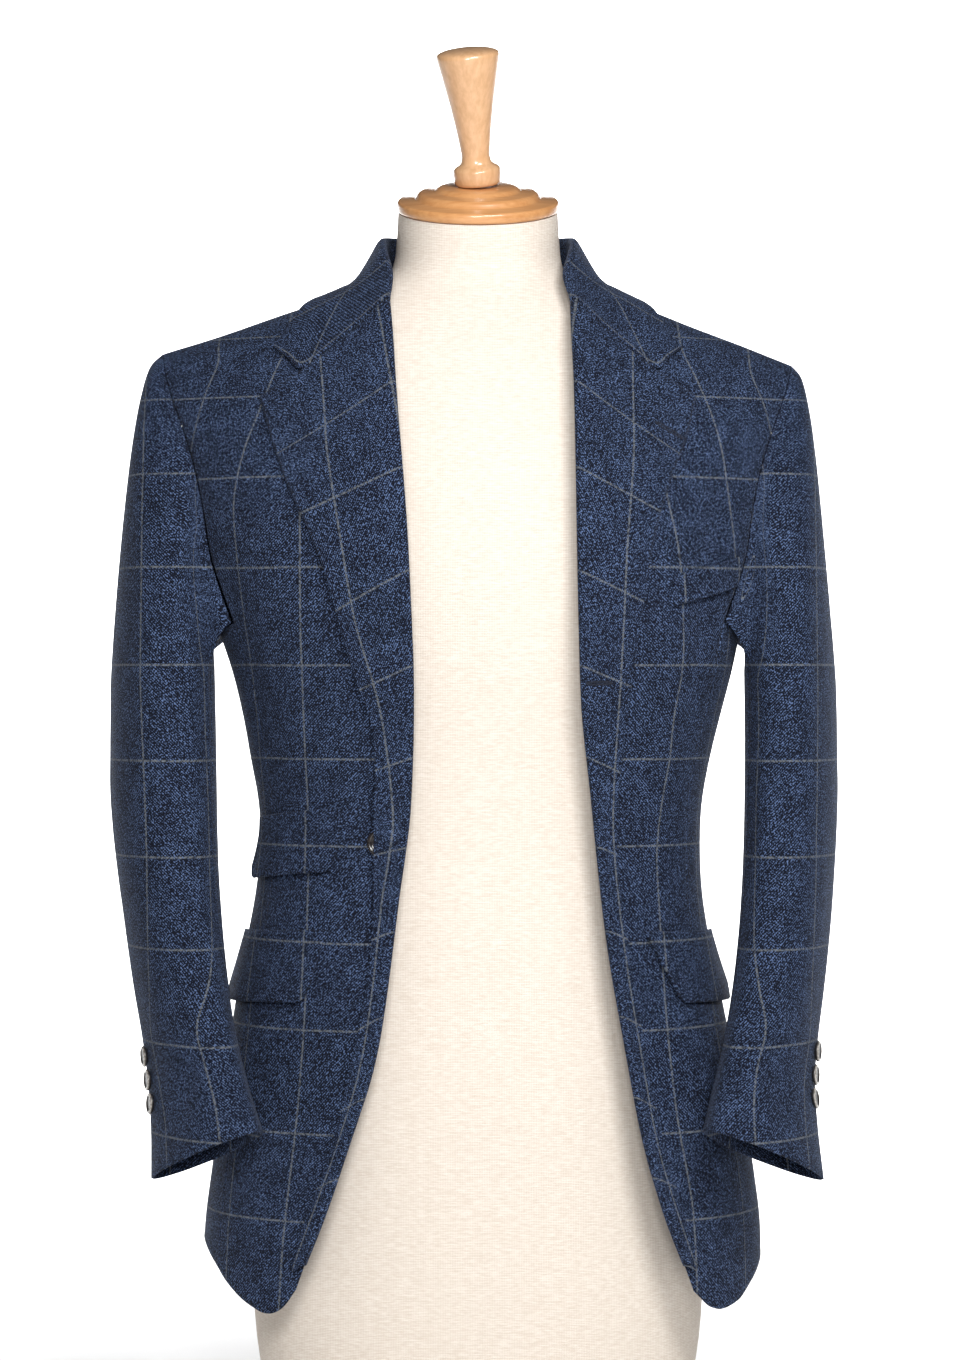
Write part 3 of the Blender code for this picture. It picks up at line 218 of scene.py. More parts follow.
# The roll, seen in section: distance past the cloth's edge, and height over the front's outer face.
RollPoint = namedtuple("RollPoint", "past over")
ROLL = rows_of(
    RollPoint, (0.0014, -0.0008), (0.0027, -0.0001), (0.0035, 0.0019), (0.0022, 0.0039), (-0.0020, 0.0046),
)
NARROW = 0.0200  # a turned edge narrower than this has a tighter roll
LAPEL_COLUMNS = (0.22, 0.45, 0.667, 0.84, 1.0)  # shares of the way to the turned edge
NOTCH_COLUMN = 2  # the notch lies on this one of them
LIFT_AT_ROLL, LIFT_AT_EDGE = 0.0044, 0.0024  # the doubled cloth's middle over the front's outer face
NOTCH_DROP = 0.0050  # the gorge seam runs this far below the straight line at the notch

# Collar
# Stations from the gorge round to the centre back: the neck edge's corner the stand rises from, the break line, the
# lower edge of the fall, and how far the fall hangs below the straight line between them.
CollarPoint = namedtuple("CollarPoint", "corner break_out break_y break_height fall_out fall_y fall_height hollow")
COLLAR = rows_of(
    CollarPoint,
    (1.0, 0.0655, -0.0560, 0.8335, 0.1405, -0.0620, 0.7860, 0.002),
    (2.0, 0.0690, -0.0330, 0.8490, 0.1290, -0.0370, 0.8020, 0.007),
    (3.0, 0.0715, -0.0030, 0.8595, 0.1170, -0.0020, 0.8165, 0.010),
    (3.5, 0.0710, 0.0150, 0.8635, 0.1125, 0.0200, 0.8172, 0.009),
    (4.0, 0.0685, 0.0330, 0.8660, 0.1060, 0.0420, 0.8165, 0.007),
    (5.0, 0.0540, 0.0600, 0.8680, 0.0830, 0.0730, 0.8160, 0.003),
    (6.0, 0.0290, 0.0770, 0.8690, 0.0430, 0.0960, 0.8175, 0.000),
    (7.0, 0.0000, 0.0825, 0.8700, 0.0000, 0.1045, 0.8185, 0.000),
)
COLLAR_FOLD = 0.0030  # half the width of the fold at the break line
COLLAR_POINT = EdgePoint(0.7760, 0.1480)
GORGE_END = 0.8080  # height at which the gorge seam meets the roll
COLLAR_ROWS = 5  # points across the fall
COLLAR_LIFT = 0.0034  # the collar's middle over the shoulder, at least
GORGE_GAP = 0.0006
STAND_GAP = 0.0026  # from the neck seam to the middle of the stand

# Sleeves
# turn is how far the flat of the sleeve is turned towards the front, slant the share of the cuff's slope.
Ring = namedtuple("Ring", "height inner outer middle_y reach turn slant")
SLEEVE = {
    RIGHT: rows_of(
        Ring,
        (0.540, 0.1940, 0.2722, -0.002, 0.0700, 11, 0.0),
        (0.500, 0.1930, 0.2725, -0.005, 0.0690, 12, 0.0),
        (0.455, 0.1920, 0.2720, -0.011, 0.0670, 13, 0.0),
        (0.410, 0.1905, 0.2675, -0.021, 0.0650, 14, 0.0),
        (0.365, 0.1870, 0.2605, -0.035, 0.0630, 16, 0.05),
        (0.320, 0.1815, 0.2525, -0.053, 0.0610, 19, 0.18),
        (0.280, 0.1750, 0.2440, -0.071, 0.0590, 23, 0.38),
        (0.245, 0.1665, 0.2380, -0.088, 0.0570, 27, 0.60),
        (0.215, 0.1580, 0.2350, -0.102, 0.0560, 31, 0.82),
        (0.197, 0.1525, 0.2340, -0.113, 0.0555, 33, 1.0),
    ),
    LEFT: rows_of(
        Ring,
        (0.540, 0.1960, 0.2655, -0.002, 0.0700, 11, 0.0),
        (0.500, 0.1963, 0.2665, -0.005, 0.0690, 12, 0.0),
        (0.455, 0.1958, 0.2665, -0.011, 0.0670, 13, 0.0),
        (0.410, 0.1943, 0.2640, -0.021, 0.0650, 14, 0.0),
        (0.365, 0.1910, 0.2600, -0.035, 0.0630, 16, 0.05),
        (0.320, 0.1855, 0.2540, -0.053, 0.0610, 19, 0.18),
        (0.280, 0.1785, 0.2475, -0.071, 0.0590, 23, 0.38),
        (0.245, 0.1710, 0.2440, -0.088, 0.0570, 27, 0.60),
        (0.215, 0.1640, 0.2460, -0.102, 0.0560, 31, 0.82),
        (0.197, 0.1605, 0.2475, -0.113, 0.0555, 33, 1.0),
    ),
}
SLEEVE_CORNER = 2.15
CUFF_SLOPE_OUT, CUFF_SLOPE_BACK = 0.35, 0.20  # fall of the cuff's edge for each metre outwards and backwards
FORE_SEAM, HIND_SEAM = 0.365, -0.125  # shares of the way round: 0 outside, 0.25 front, 0.5 inside
HEAD_RINGS = 7
HeadShape = namedtuple("HeadShape", "leave arrive")  # how far the sleevehead stands out as it leaves and arrives
HEAD = {RIGHT: HeadShape(0.0150, 0.0060), LEFT: HeadShape(0.0110, 0.0080)}
SLEEVE_BODY_RINGS = 13

# Pockets
# degrees are round the body from the centre front; near is the end towards the centre.
Flap = namedtuple("Flap", "side near far top_near top_far near_low far_low depth corner")
FLAPS = {
    "ticket_flap_right": Flap(RIGHT, 33.0, 76.0, 0.4455, 0.4370, 35.0, 79.0, 0.0465, 0.009),
    "hip_flap_right": Flap(RIGHT, 35.5, 88.0, 0.3575, 0.3530, 39.0, 88.0, 0.0520, 0.011),
    "hip_flap_left": Flap(LEFT, 40.5, 88.0, 0.3560, 0.3530, 49.0, 88.0, 0.0520, 0.012),
}
FLAP_WALL = 0.0018
FLAP_LIFT_TOP = 0.0012  # gap to the body at a flap's sewn edge
FLAP_LIFT_NEAR, FLAP_LIFT_FAR = 0.0022, 0.0050  # gap at its lower corners, towards the front and the side
Welt = namedtuple("Welt", "near far top_near top_far depth")
WELT_LIFT = 0.0009
WELT = Welt(39.5, 64.5, 0.6115, 0.6270, 0.0230)

# Buttons
FRONT_BUTTON_RADIUS, FRONT_BUTTON_THICK = 0.0100, 0.0032
FRONT_BUTTON_HEIGHT, FRONT_BUTTON_OUT = 0.4200, 0.0690
BUTTON_BULGE, BUTTON_BULGE_HALF = 0.0040, 0.040  # how far, and how far along, the turned edge rides over it
CUFF_BUTTON_RADIUS, CUFF_BUTTON_THICK = 0.0077, 0.0030
CUFF_BUTTON_HEIGHTS = {RIGHT: (0.2640, 0.2477, 0.2314), LEFT: (0.2675, 0.2512, 0.2349)}
CUFF_BUTTON_ROUND = HIND_SEAM + 0.072  # share of the way round
FRONT_BUTTON_GAP, CUFF_BUTTON_GAP = 0.0010, 0.0009  # between the cloth and a button

# %% [markdown]
# ## One surface under all the body pieces
#
# A real jacket is cut flat and shaped with darts and steam. Modelling each panel by itself would leave steps at the
# seams, so fronts, sides and backs are all cut from one surface. `body` gives a point of it for an angle round the
# wearer (0 at the centre front) and a level, which is a height up to the underarm and a share of the way to the
# shoulder seam above it.


# %% The body surface
HALF = {
    RIGHT: table_curve(BODY, "height", "half_right"),
    LEFT: table_curve(BODY, "height", "half_left"),
}
FRONT_DEPTH = table_curve(BODY, "height", "front")
BACK_DEPTH = table_curve(BODY, "height", "back")
RIDGE = {
    RIGHT: table_curve(SHOULDER_SEAM, "out", "height_right"),
    LEFT: table_curve(SHOULDER_SEAM, "out", "height_left"),
}
HEM_LINE = {side: table_curve(HEM[side], "degrees", "height") for side in HEM}
EDGE_OUT = {side: table_curve(FRONT_EDGE[side], "height", "out") for side in FRONT_EDGE}


def rise_of(level):
    """0 up to the underarm, 1 at the shoulder seam."""
    return np.clip((level - UNDERARM) / (SHOULDER_LEVEL - UNDERARM), 0, 1)


def half_width(side, level):
    under = HALF[side](np.minimum(level, UNDERARM))
    return under + (SHOULDER_HALF[side] - under) * rise_of(level) ** SHOULDER_SPREAD


def top_line(side, out, behind):
    """Where a column of the body ends: y and height of the shoulder seam, or of the back neck seam."""
    seam = RIDGE[side](out)
    share = np.clip(out / NECK_OUT, 0, 1)
    nape = NECK_NAPE + (RIDGE[side](NECK_OUT) - NECK_NAPE) * share**2
    y = np.where(behind, NECK_BACK * np.sqrt(1 - share**2), 0.0)
    return y, np.where(np.logical_and(behind, out < NECK_OUT), nape, seam)


def body(side, angle, level):
    """Points of the jacket's outer face, for one angle and level or for arrays of them."""
    angle, level = np.broadcast_arrays(np.asarray(angle, float), np.asarray(level, float))
    height = np.minimum(level, UNDERARM)
    rise = rise_of(level) * math.pi / 2
    out = half_width(side, level) * bowed(np.sin(angle), CORNER)
    behind = angle > math.pi / 2
    depth = np.where(behind, BACK_DEPTH(height), FRONT_DEPTH(height))
    level_y = -depth * bowed(np.cos(angle), CORNER)
    top_y, top_height = top_line(side, out, behind)
    up = bowed(np.sin(rise), CHEST_ROUND)
    kept = bowed(np.cos(rise), CHEST_ROUND)
    return np.stack([side * out, top_y + (level_y - top_y) * kept, height + (top_height - height) * up], axis=-1)


def body_normal(side, angle, level):
    step = 1e-4
    around = body(side, angle + step, level) - body(side, angle - step, level)
    upward = body(side, angle, level + step) - body(side, angle, level - step)
    return unit(side * np.cross(around, upward))


def angle_at(side, out, level):
    """The angle at which a level of the body lies this far out."""
    return np.arcsin(np.clip(out / half_width(side, level), 0, 1) ** (CORNER / 2))


def height_of(side, out, level, behind=False):
    """The real height of a level at this distance out."""
    up = bowed(np.sin(rise_of(level) * math.pi / 2), CHEST_ROUND)
    above = UNDERARM + (top_line(side, out, behind)[1] - UNDERARM) * up
    return np.where(level <= UNDERARM, level, above)


def level_of(side, out, height):
    """The level whose real height at this distance out is height."""
    up = np.clip((height - UNDERARM) / (RIDGE[side](out) - UNDERARM), 0, 1)
    above = UNDERARM + (SHOULDER_LEVEL - UNDERARM) * np.arcsin(up ** (CHEST_ROUND / 2)) * 2 / math.pi
    return np.where(height <= UNDERARM, height, above)


SETTLE = 8  # rounds in which a line settles on a level


def out_on(side, line, level, behind=False):
    """How far out a line given by real height crosses a level."""
    out = line(level)
    for _ in range(SETTLE):
        out = line(height_of(side, out, level, behind))
    return out


def front_at(side, out, height, over=0.0):
    """A point over the front's outer face, by its distance out and its height."""
    level = level_of(side, out, height)
    angle = angle_at(side, out, level)
    return body(side, angle, level) + body_normal(side, angle, level) * over


ARM_LINE = {
    False: table_curve(ARMHOLE_FRONT, "height", "out"),
    True: table_curve(ARMHOLE_BACK, "height", "out"),
}


def arm_angle(side, level, behind):
    """The angle of the armhole's front or back branch at a level above the underarm."""
    angle = angle_at(side, out_on(side, ARM_LINE[behind], level, behind), level)
    return math.pi - angle if behind else angle


def underarm_level(angle):
    """The level at which the side piece ends below the armhole."""
    low, high = arm_angle(LEFT, UNDERARM, False), math.pi / 2
    return UNDERARM - ARMHOLE_DIP * (1 - ((angle - high) / (high - low)) ** 2)


def levelled(side, angle, level):
    """A nominal level moved so that the lowest row follows the hem."""
    if level >= EVEN_LEVEL:
        return level
    hem = HEM_LINE[side](math.degrees(angle))
    return hem + (level - HEM_LEVEL) * (EVEN_LEVEL - hem) / (EVEN_LEVEL - HEM_LEVEL)


print("chest, twice the half widths:", round(2000 * float(half_width(RIGHT, UNDERARM))), "mm across")

# %% [markdown]
# ## The check follows the cloth
#
# The windowpane check is woven in, so it bends with the cloth: it can't be projected from the front. Each piece gets
# a UV map called Panes whose unit is one pane, 56 mm wide and 69 mm high. Whole numbers are the pale lines. On the
# body, the map counts the length of cloth round the body from one marked line, so that lines close up towards the
# side as they should, and the rows run level right round the jacket.

# %% Pane map of the body
PANE_WIDE, PANE_HIGH = 0.056, 0.069
PANE_ROWS = line_through(
    (0.020, -2.0), (0.084, -1.0), (0.151, 0.0), (0.213, 1.0), (0.2866, 2.0), (0.348, 3.0), (0.4172, 4.0),
    (0.4797, 5.0), (0.547, 6.0), (0.6173, 7.0), (0.682, 8.0), (0.741, 9.0), (0.786, 10.0), (0.820, 11.0), (0.845, 12.0),
)  # fmt: skip
MARKED_LINE = {
    RIGHT: line_through(
        (0.09, 0.142), (0.15, 0.138), (0.23, 0.130), (0.32, 0.124), (0.419, 0.122), (0.507, 0.125), (0.617, 0.127),
        (0.68, 0.126), (0.70, 0.120), (0.742, 0.105), (0.80, 0.085),
    ),
    LEFT: line_through(
        (0.09, 0.157), (0.15, 0.155), (0.23, 0.143), (0.32, 0.134), (0.419, 0.129), (0.478, 0.137), (0.507, 0.140),
        (0.5365, 0.147), (0.567, 0.148), (0.61, 0.1465), (0.65, 0.139), (0.726, 0.122), (0.80, 0.095),
    ),
}  # fmt: skip
ROUND_STEPS = 400
ROUND = np.linspace(0, math.pi, ROUND_STEPS + 1)


def pane_map(side, angle, level):
    """The pane coordinates of one point of the body."""
    around = body(side, ROUND, level)
    length = np.concatenate([[0], np.cumsum(np.linalg.norm(np.diff(around, axis=0), axis=1))])
    here = body(side, angle, level)
    marked = angle_at(side, out_on(side, MARKED_LINE[side], level), level)
    across = np.interp(angle, ROUND, length) - np.interp(marked, ROUND, length)
    return across / PANE_WIDE, float(PANE_ROWS(here[2]))


print("a pane is", PANE_WIDE * 1000, "x", PANE_HIGH * 1000, "mm")

# %% [markdown]
# ## From a coarse grid to cloth
#
# Cloth could be simulated, but this jacket is canvassed and pressed: it keeps its tailored shape and shows only a
# few soft creases. So each piece starts as a coarse grid of points, a Catmull-Rom spline fills in the points between
# them, creases move them by a millimetre or two, and a wall is closed round them. The rim of the wall is drawn to
# its middle, which gives the edge the rounded look of folded cloth and leaves a soft ditch at every seam.


# %% Grids
def trimmed(grid, bottom=0.0, top=0.0, first=0.0, last=0.0):
    """The grid (rows, columns, xyz) with its outer rows and columns drawn in by these distances."""
    grid = grid.copy()
    grid[0] += unit(grid[1] - grid[0]) * bottom
    grid[-1] += unit(grid[-2] - grid[-1]) * top
    grid[:, 0] += unit(grid[:, 1] - grid[:, 0]) * first
    grid[:, -1] += unit(grid[:, -2] - grid[:, -1]) * last
    return grid


def grid_normals(grid):
    """Unit normals of a grid of points, by the differences along its rows and columns."""
    return unit(np.cross(np.gradient(grid, axis=1), np.gradient(grid, axis=0)))


def outward(grid, side):
    """The grid with its columns ordered so that its normals face out of the body."""
    return grid if side == LEFT else grid[:, ::-1]


def splined(grid, places):
    """A Catmull-Rom spline down the rows of a grid, read at these places, counted in rows."""
    ends = np.concatenate([2 * grid[:1] - grid[1:2], grid, 2 * grid[-1:] - grid[-2:-1]])
    low = np.clip(places.astype(int), 0, len(grid) - 2)
    s = (places - low)[:, None, None]
    p, q, r, t = (ends[low + k] for k in range(4))
    return 0.5 * (2 * q + (r - p) * s + (2 * p - 5 * q + 4 * r - t) * s**2 + (3 * q - p - 3 * r + t) * s**3)


def fine_places(count, steps, rim):
    """Places along a grid line: so many steps to a cell, and one more just inside each end for the rim."""
    places = np.linspace(0, count - 1, (count - 1) * steps + 1)
    return np.concatenate([[0, rim[0]], places[1:-1], [count - 1 - rim[1], count - 1]])


def finer(grid, down, across):
    return splined(splined(grid, down).transpose(1, 0, 2), across).transpose(1, 0, 2)


# %% Creases
# A crease is a soft trough (depth below 0) or ridge along a line in the front view, on faces that look forwards, or
# in the back view, on faces that look backwards.
Crease = namedtuple("Crease", "face x1 z1 x2 z2 width depth")
FORWARD, BACKWARD = -1, 1
CREASE_FACING, CREASE_DEEPER = 1.6, 1.35  # how soon a crease fades round the side, and a share on all depths
CREASES = {
    "body": rows_of(
        Crease,
        (FORWARD, -0.190, 0.640, -0.150, 0.470, 0.012, -0.0022),
        (FORWARD, -0.165, 0.700, -0.140, 0.560, 0.016, 0.0012),
        (FORWARD, -0.100, 0.400, -0.150, 0.430, 0.010, -0.0012),
        (FORWARD, -0.120, 0.340, -0.135, 0.160, 0.020, -0.0018),
        (FORWARD, -0.165, 0.330, -0.180, 0.150, 0.018, 0.0016),
        (FORWARD, 0.178, 0.680, 0.150, 0.500, 0.014, -0.0022),
        (FORWARD, 0.155, 0.560, 0.130, 0.440, 0.014, 0.0012),
        (FORWARD, 0.120, 0.330, 0.150, 0.150, 0.020, -0.0018),
        (FORWARD, 0.165, 0.330, 0.180, 0.170, 0.018, 0.0014),
        (BACKWARD, -0.165, 0.660, -0.120, 0.480, 0.016, -0.0025),
        (BACKWARD, 0.170, 0.650, 0.115, 0.470, 0.016, -0.0022),
        (BACKWARD, -0.110, 0.450, 0.020, 0.425, 0.014, -0.0016),
        (BACKWARD, 0.030, 0.400, 0.120, 0.420, 0.012, -0.0014),
        (BACKWARD, -0.080, 0.330, -0.110, 0.150, 0.022, -0.0020),
        (BACKWARD, 0.070, 0.320, 0.105, 0.150, 0.022, -0.0018),
        (BACKWARD, -0.060, 0.790, -0.110, 0.700, 0.016, -0.0014),
        (BACKWARD, 0.065, 0.785, 0.105, 0.700, 0.016, -0.0012),
    ),
    "right": rows_of(
        Crease,
        (FORWARD, -0.2450, 0.720, -0.2400, 0.420, 0.008, 0.0010),
        (FORWARD, -0.2400, 0.400, -0.2270, 0.200, 0.009, 0.0008),
        (FORWARD, -0.2230, 0.620, -0.2170, 0.440, 0.009, -0.0014),
        (FORWARD, -0.2050, 0.500, -0.2250, 0.400, 0.010, -0.0014),
        (FORWARD, -0.1950, 0.300, -0.2150, 0.220, 0.010, -0.0016),
        (FORWARD, -0.2050, 0.700, -0.1980, 0.600, 0.008, -0.0018),
        (BACKWARD, -0.2450, 0.600, -0.2200, 0.480, 0.014, -0.0022),
        (BACKWARD, -0.2100, 0.450, -0.2500, 0.400, 0.012, -0.0022),
        (BACKWARD, -0.2000, 0.350, -0.2300, 0.300, 0.012, -0.0016),
    ),
    "left": rows_of(
        Crease,
        (FORWARD, 0.2400, 0.720, 0.2390, 0.430, 0.008, 0.0009),
        (FORWARD, 0.2380, 0.410, 0.2330, 0.200, 0.009, 0.0008),
        (FORWARD, 0.2240, 0.640, 0.2150, 0.470, 0.009, -0.0014),
        (FORWARD, 0.2030, 0.520, 0.2230, 0.430, 0.010, -0.0013),
        (FORWARD, 0.1950, 0.320, 0.2180, 0.230, 0.010, -0.0014),
        (FORWARD, 0.2060, 0.700, 0.2000, 0.620, 0.008, -0.0016),
        (BACKWARD, 0.2450, 0.620, 0.2200, 0.500, 0.014, -0.0022),
        (BACKWARD, 0.2080, 0.470, 0.2480, 0.410, 0.012, -0.0022),
        (BACKWARD, 0.2000, 0.360, 0.2300, 0.310, 0.012, -0.0016),
    ),
    None: (),
}


def crease_height(group, points, normals):
    """How far the creases of a group lift each point of a grid along its normal."""
    total = np.zeros(points.shape[:-1])
    for crease in CREASES[group]:
        start = np.array([crease.x1, crease.z1])
        way = np.array([crease.x2, crease.z2]) - start
        flat = points[..., [0, 2]] - start
        along = np.clip(flat @ way / (way @ way), 0, 1)
        gap = np.linalg.norm(flat - along[..., None] * way, axis=-1) / crease.width
        facing = np.clip(normals[..., 1] * crease.face * CREASE_FACING, 0, 1)
        fade = 0.35 + 0.65 * np.sin(math.pi * np.clip(along, 0.02, 0.98)) ** 0.7
        total += crease.depth * CREASE_DEEPER * np.exp(-(gap**2)) * facing * fade
    return total


# %% A wall of cloth
RIM, SEAM_RIM = 0.0007, 0.0003  # how far inside a free edge, or a sewn one, the cloth reaches its full thickness


def mesh_object(name, points, faces, material, panes=None):
    mesh = bpy.data.meshes.new(name)
    mesh.from_pydata([tuple(p) for p in points], [], faces)
    if panes is not None:
        corner = np.empty(len(mesh.loops), np.int32)
        mesh.loops.foreach_get("vertex_index", corner)
        layer = mesh.uv_layers.new(name="Panes")
        layer.data.foreach_set("uv", np.asarray(panes, np.float32)[corner].ravel())
    mesh.materials.append(material)
    mesh.shade_smooth()
    made = bpy.data.objects.new(name, mesh)
    bpy.context.scene.collection.objects.link(made)
    return made


GRIDS = {}  # each wall's own grid of points, for the size of its cut


def wall(name, grid, panes, thickness, steps=6, group=None, normals=None, middle=False, rim=RIM):
    """A closed wall of cloth with rounded edges on a coarse grid whose normals face out."""
    GRIDS[name] = np.array(grid)
    normals = grid_normals(grid) if normals is None else normals
    rows, columns = grid.shape[:2]
    cell_down = [np.linalg.norm(grid[1] - grid[0], axis=-1).mean(), np.linalg.norm(grid[-1] - grid[-2], axis=-1).mean()]
    cell_across = [
        np.linalg.norm(grid[:, 1] - grid[:, 0], axis=-1).mean(),
        np.linalg.norm(grid[:, -1] - grid[:, -2], axis=-1).mean(),
    ]
    down = fine_places(rows, steps, [min(rim / cell, 0.5 / steps) for cell in cell_down])
    across = fine_places(columns, steps, [min(rim / cell, 0.5 / steps) for cell in cell_across])
    points, facing, panes = finer(grid, down, across), unit(finer(normals, down, across)), finer(panes, down, across)
    points = points + facing * crease_height(group, points, facing)[..., None]
    facing = unit(facing + grid_normals(points))
    outer = points + facing * (thickness / 2 if middle else 0)
    inner = outer - facing * thickness
    edge = np.ones(points.shape[:2], bool)
    edge[1:-1, 1:-1] = False
    outer[edge] = (outer[edge] + inner[edge]) / 2
    count = edge.size
    numbers = np.arange(count).reshape(edge.shape)
    under = np.where(edge, numbers, 0)
    under[~edge] = count + np.arange((~edge).sum())
    faces = []
    for side_numbers, flip in ((numbers, False), (under, True)):
        a, b, c, d = side_numbers[:-1, :-1], side_numbers[:-1, 1:], side_numbers[1:, 1:], side_numbers[1:, :-1]
        quads = np.stack([a, d, c, b] if flip else [a, b, c, d], axis=-1).reshape(-1, 4)
        faces += quads.tolist()
    all_points = np.concatenate([outer.reshape(-1, 3), inner[~edge]])
    all_panes = np.concatenate([panes[..., :2].reshape(-1, 2), panes[..., :2][~edge]])
    return mesh_object(name, all_points, faces, wool, all_panes)


FINISHED = {}  # every finished piece, by its CAD node


def worn(piece, node):
    """The piece stands for its CAD node, which it hides, and rides on the only body."""
    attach(piece, "root")
    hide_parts(node)
    FINISHED[node] = piece
    return piece

# %% [markdown]
# ## Shader maths
#
# Weave, speckle and check are all small sums over coordinates. Wiring each sum by hand hides what it says, so one
# small class wraps an output socket and gives it arithmetic. Everything is procedural: the cloth can be seen from
# any side and at any distance, and no picture is needed.


# %% Sockets with arithmetic
class Flow:
    """An output socket of a shader tree that can stand in a sum."""

    def __init__(self, tree, socket):
        self.tree, self.socket = tree, socket

    def node(self, kind, settings=None, inputs=None, output=0):
        """Any node: its type, its settings, and then the values or links of its sockets."""
        made = self.tree.nodes.new(kind)
        for name, value in (settings or {}).items():
            setattr(made, name, value)
        for key, value in (inputs or {}).items():
            if isinstance(value, Flow):
                self.tree.links.new(value.socket, made.inputs[key])
            else:
                made.inputs[key].default_value = value
        return Flow(self.tree, made.outputs[output])

    def maths(self, operation, *values):
        return self.node("ShaderNodeMath", {"operation": operation}, dict(enumerate(values)))

    def __add__(self, other):
        return self.maths("ADD", self, other)

    def __radd__(self, other):
        return self.maths("ADD", other, self)

    def __sub__(self, other):
        return self.maths("SUBTRACT", self, other)

    def __rsub__(self, other):
        return self.maths("SUBTRACT", other, self)

    def __mul__(self, other):
        return self.maths("MULTIPLY", self, other)

    def __rmul__(self, other):
        return self.maths("MULTIPLY", other, self)

    def __truediv__(self, other):
        return self.maths("DIVIDE", self, other)

    def __neg__(self):
        return self.maths("MULTIPLY", self, -1.0)

    def ramp(self, low, high):
        """0 below low, 1 above high, smooth between."""
        settings = {"interpolation_type": "SMOOTHSTEP"}
        return self.node("ShaderNodeMapRange", settings, {"Value": self, "From Min": low, "From Max": high})

    def stretched(self, x, y, z):
        """A vector whose axes are multiplied by these numbers."""
        return self.node("ShaderNodeVectorMath", {"operation": "MULTIPLY"}, {0: self, 1: (x, y, z)})

    def noise(self, scale, detail=2.0, roughness=0.5):
        """Noise about 0.5 over a vector, in features to the metre."""
        inputs = {"Vector": self, "Scale": scale, "Detail": detail, "Roughness": roughness}
        return self.node("ShaderNodeTexNoise", {}, inputs)

    def mix(self, first, second):
        """Two colours mixed, with this socket as the share of the second."""
        return self.node("ShaderNodeMix", {"data_type": "RGBA"}, {0: self, 6: first, 7: second}, output=2)


def new_material(name, roughness, constants=None):
    """A Principled material with its constant values set, and a Flow to start sums from."""
    material = bpy.data.materials.new(name)
    material.use_nodes = True
    shader = material.node_tree.nodes["Principled BSDF"]
    shader.inputs["Roughness"].default_value = roughness
    for key, value in (constants or {}).items():
        shader.inputs[key].default_value = value
    return material, shader, Flow(material.node_tree, None)


def coloured(shader, flow, colour=None, height=None, distance=0.0002, strength=1.0):
    """Links a colour, and a height as a bump, into a shader."""
    if colour is not None:
        flow.tree.links.new(colour.socket, shader.inputs["Base Color"])
    if height is not None:
        bump = flow.node("ShaderNodeBump", {}, {"Strength": strength, "Distance": distance, "Height": height})
        flow.tree.links.new(bump.socket, shader.inputs["Normal"])


def srgb(red, green, blue):
    """A colour as seen on a screen, 0 to 255, turned into linear light."""
    shares = np.array([red, green, blue]) / 255
    linear = np.where(shares <= 0.04045, shares / 12.92, ((shares + 0.055) / 1.055) ** 2.4)
    return (*(float(value) for value in linear), 1.0)


# %% [markdown]
# ## Melange wool with a windowpane check
#
# The yarn is spun from fibres dyed dark and light blue, so from near by the cloth looks speckled. Two scales of
# noise give short dark and light flecks, drawn out along the diagonal of the twill. The pale panes are single yarns
# woven in: they show as broken, dotted lines because each yarn dives under its neighbours. A little sheen stands for
# the nap. The twill itself is faint: a small part of the colour, and of the bump that softens the light.

# %% Wool
NAP = {"Specular IOR Level": 0.22, "Sheen Weight": 0.06, "Sheen Roughness": 0.45, "Sheen Tint": (0.62, 0.72, 1.0, 1.0)}
wool, wool_shader, flow = new_material("blue windowpane wool", 0.92, NAP)
place = flow.node("ShaderNodeTexCoord", output="Object")
panes = flow.node("ShaderNodeUVMap", {"uv_map": "Panes"})
across = panes.node("ShaderNodeSeparateXYZ", {}, {0: panes}, output=0)
upwards = panes.node("ShaderNodeSeparateXYZ", {}, {0: panes}, output=1)
wide, high = across * PANE_WIDE, upwards * PANE_HIGH
# The flecks lie along the twill, so their place is read in turned and stretched cloth coordinates.
with_twill = wide.node("ShaderNodeCombineXYZ", {}, {0: (wide + high) * 0.5, 1: (wide - high) * 1.15, 2: 0.0})
fleck = with_twill.noise(700.0, 2.0, 0.65)
speck = place.noise(980.0, 1.0, 0.6)
cloud = place.noise(70.0, 3.0, 0.6)
ridge = (wide + high) * (2 * math.pi / 0.0024)
twill = ridge.maths("SINE", ridge)
share = (fleck * 0.62 + speck * 0.42 + cloud * 0.10 + twill * 0.05 - 0.57).ramp(0.015, 0.125)
DARK_YARN, LIGHT_YARN, PALE_YARN = srgb(6, 11, 26), srgb(90, 111, 151), srgb(108, 112, 116)
melange = share.mix(DARK_YARN, LIGHT_YARN)
# Distance to the nearest pane line, in metres, and the dots along it.
upright = wide.node("ShaderNodeMath", {"operation": "PINGPONG"}, {0: across, 1: 0.5}) * PANE_WIDE
level = wide.node("ShaderNodeMath", {"operation": "PINGPONG"}, {0: upwards, 1: 0.5}) * PANE_HIGH
LINE_HALF, LINE_SOFT = 0.00050, 0.00055
on_upright = 1.0 - upright.ramp(LINE_HALF, LINE_HALF + LINE_SOFT)
on_level = 1.0 - level.ramp(LINE_HALF, LINE_HALF + LINE_SOFT)
dots = with_twill.noise(430.0, 1.0, 0.5).ramp(0.38, 0.60)
line = on_upright.maths("MAXIMUM", on_upright, on_level) * (0.15 + dots * 0.60)
colour = line.mix(melange, PALE_YARN)
coloured(wool_shader, flow, colour, fleck * 0.8 + speck * 0.6 + twill * 0.10, 0.00035, 0.55)
print("wool nodes:", len(wool.node_tree.nodes))

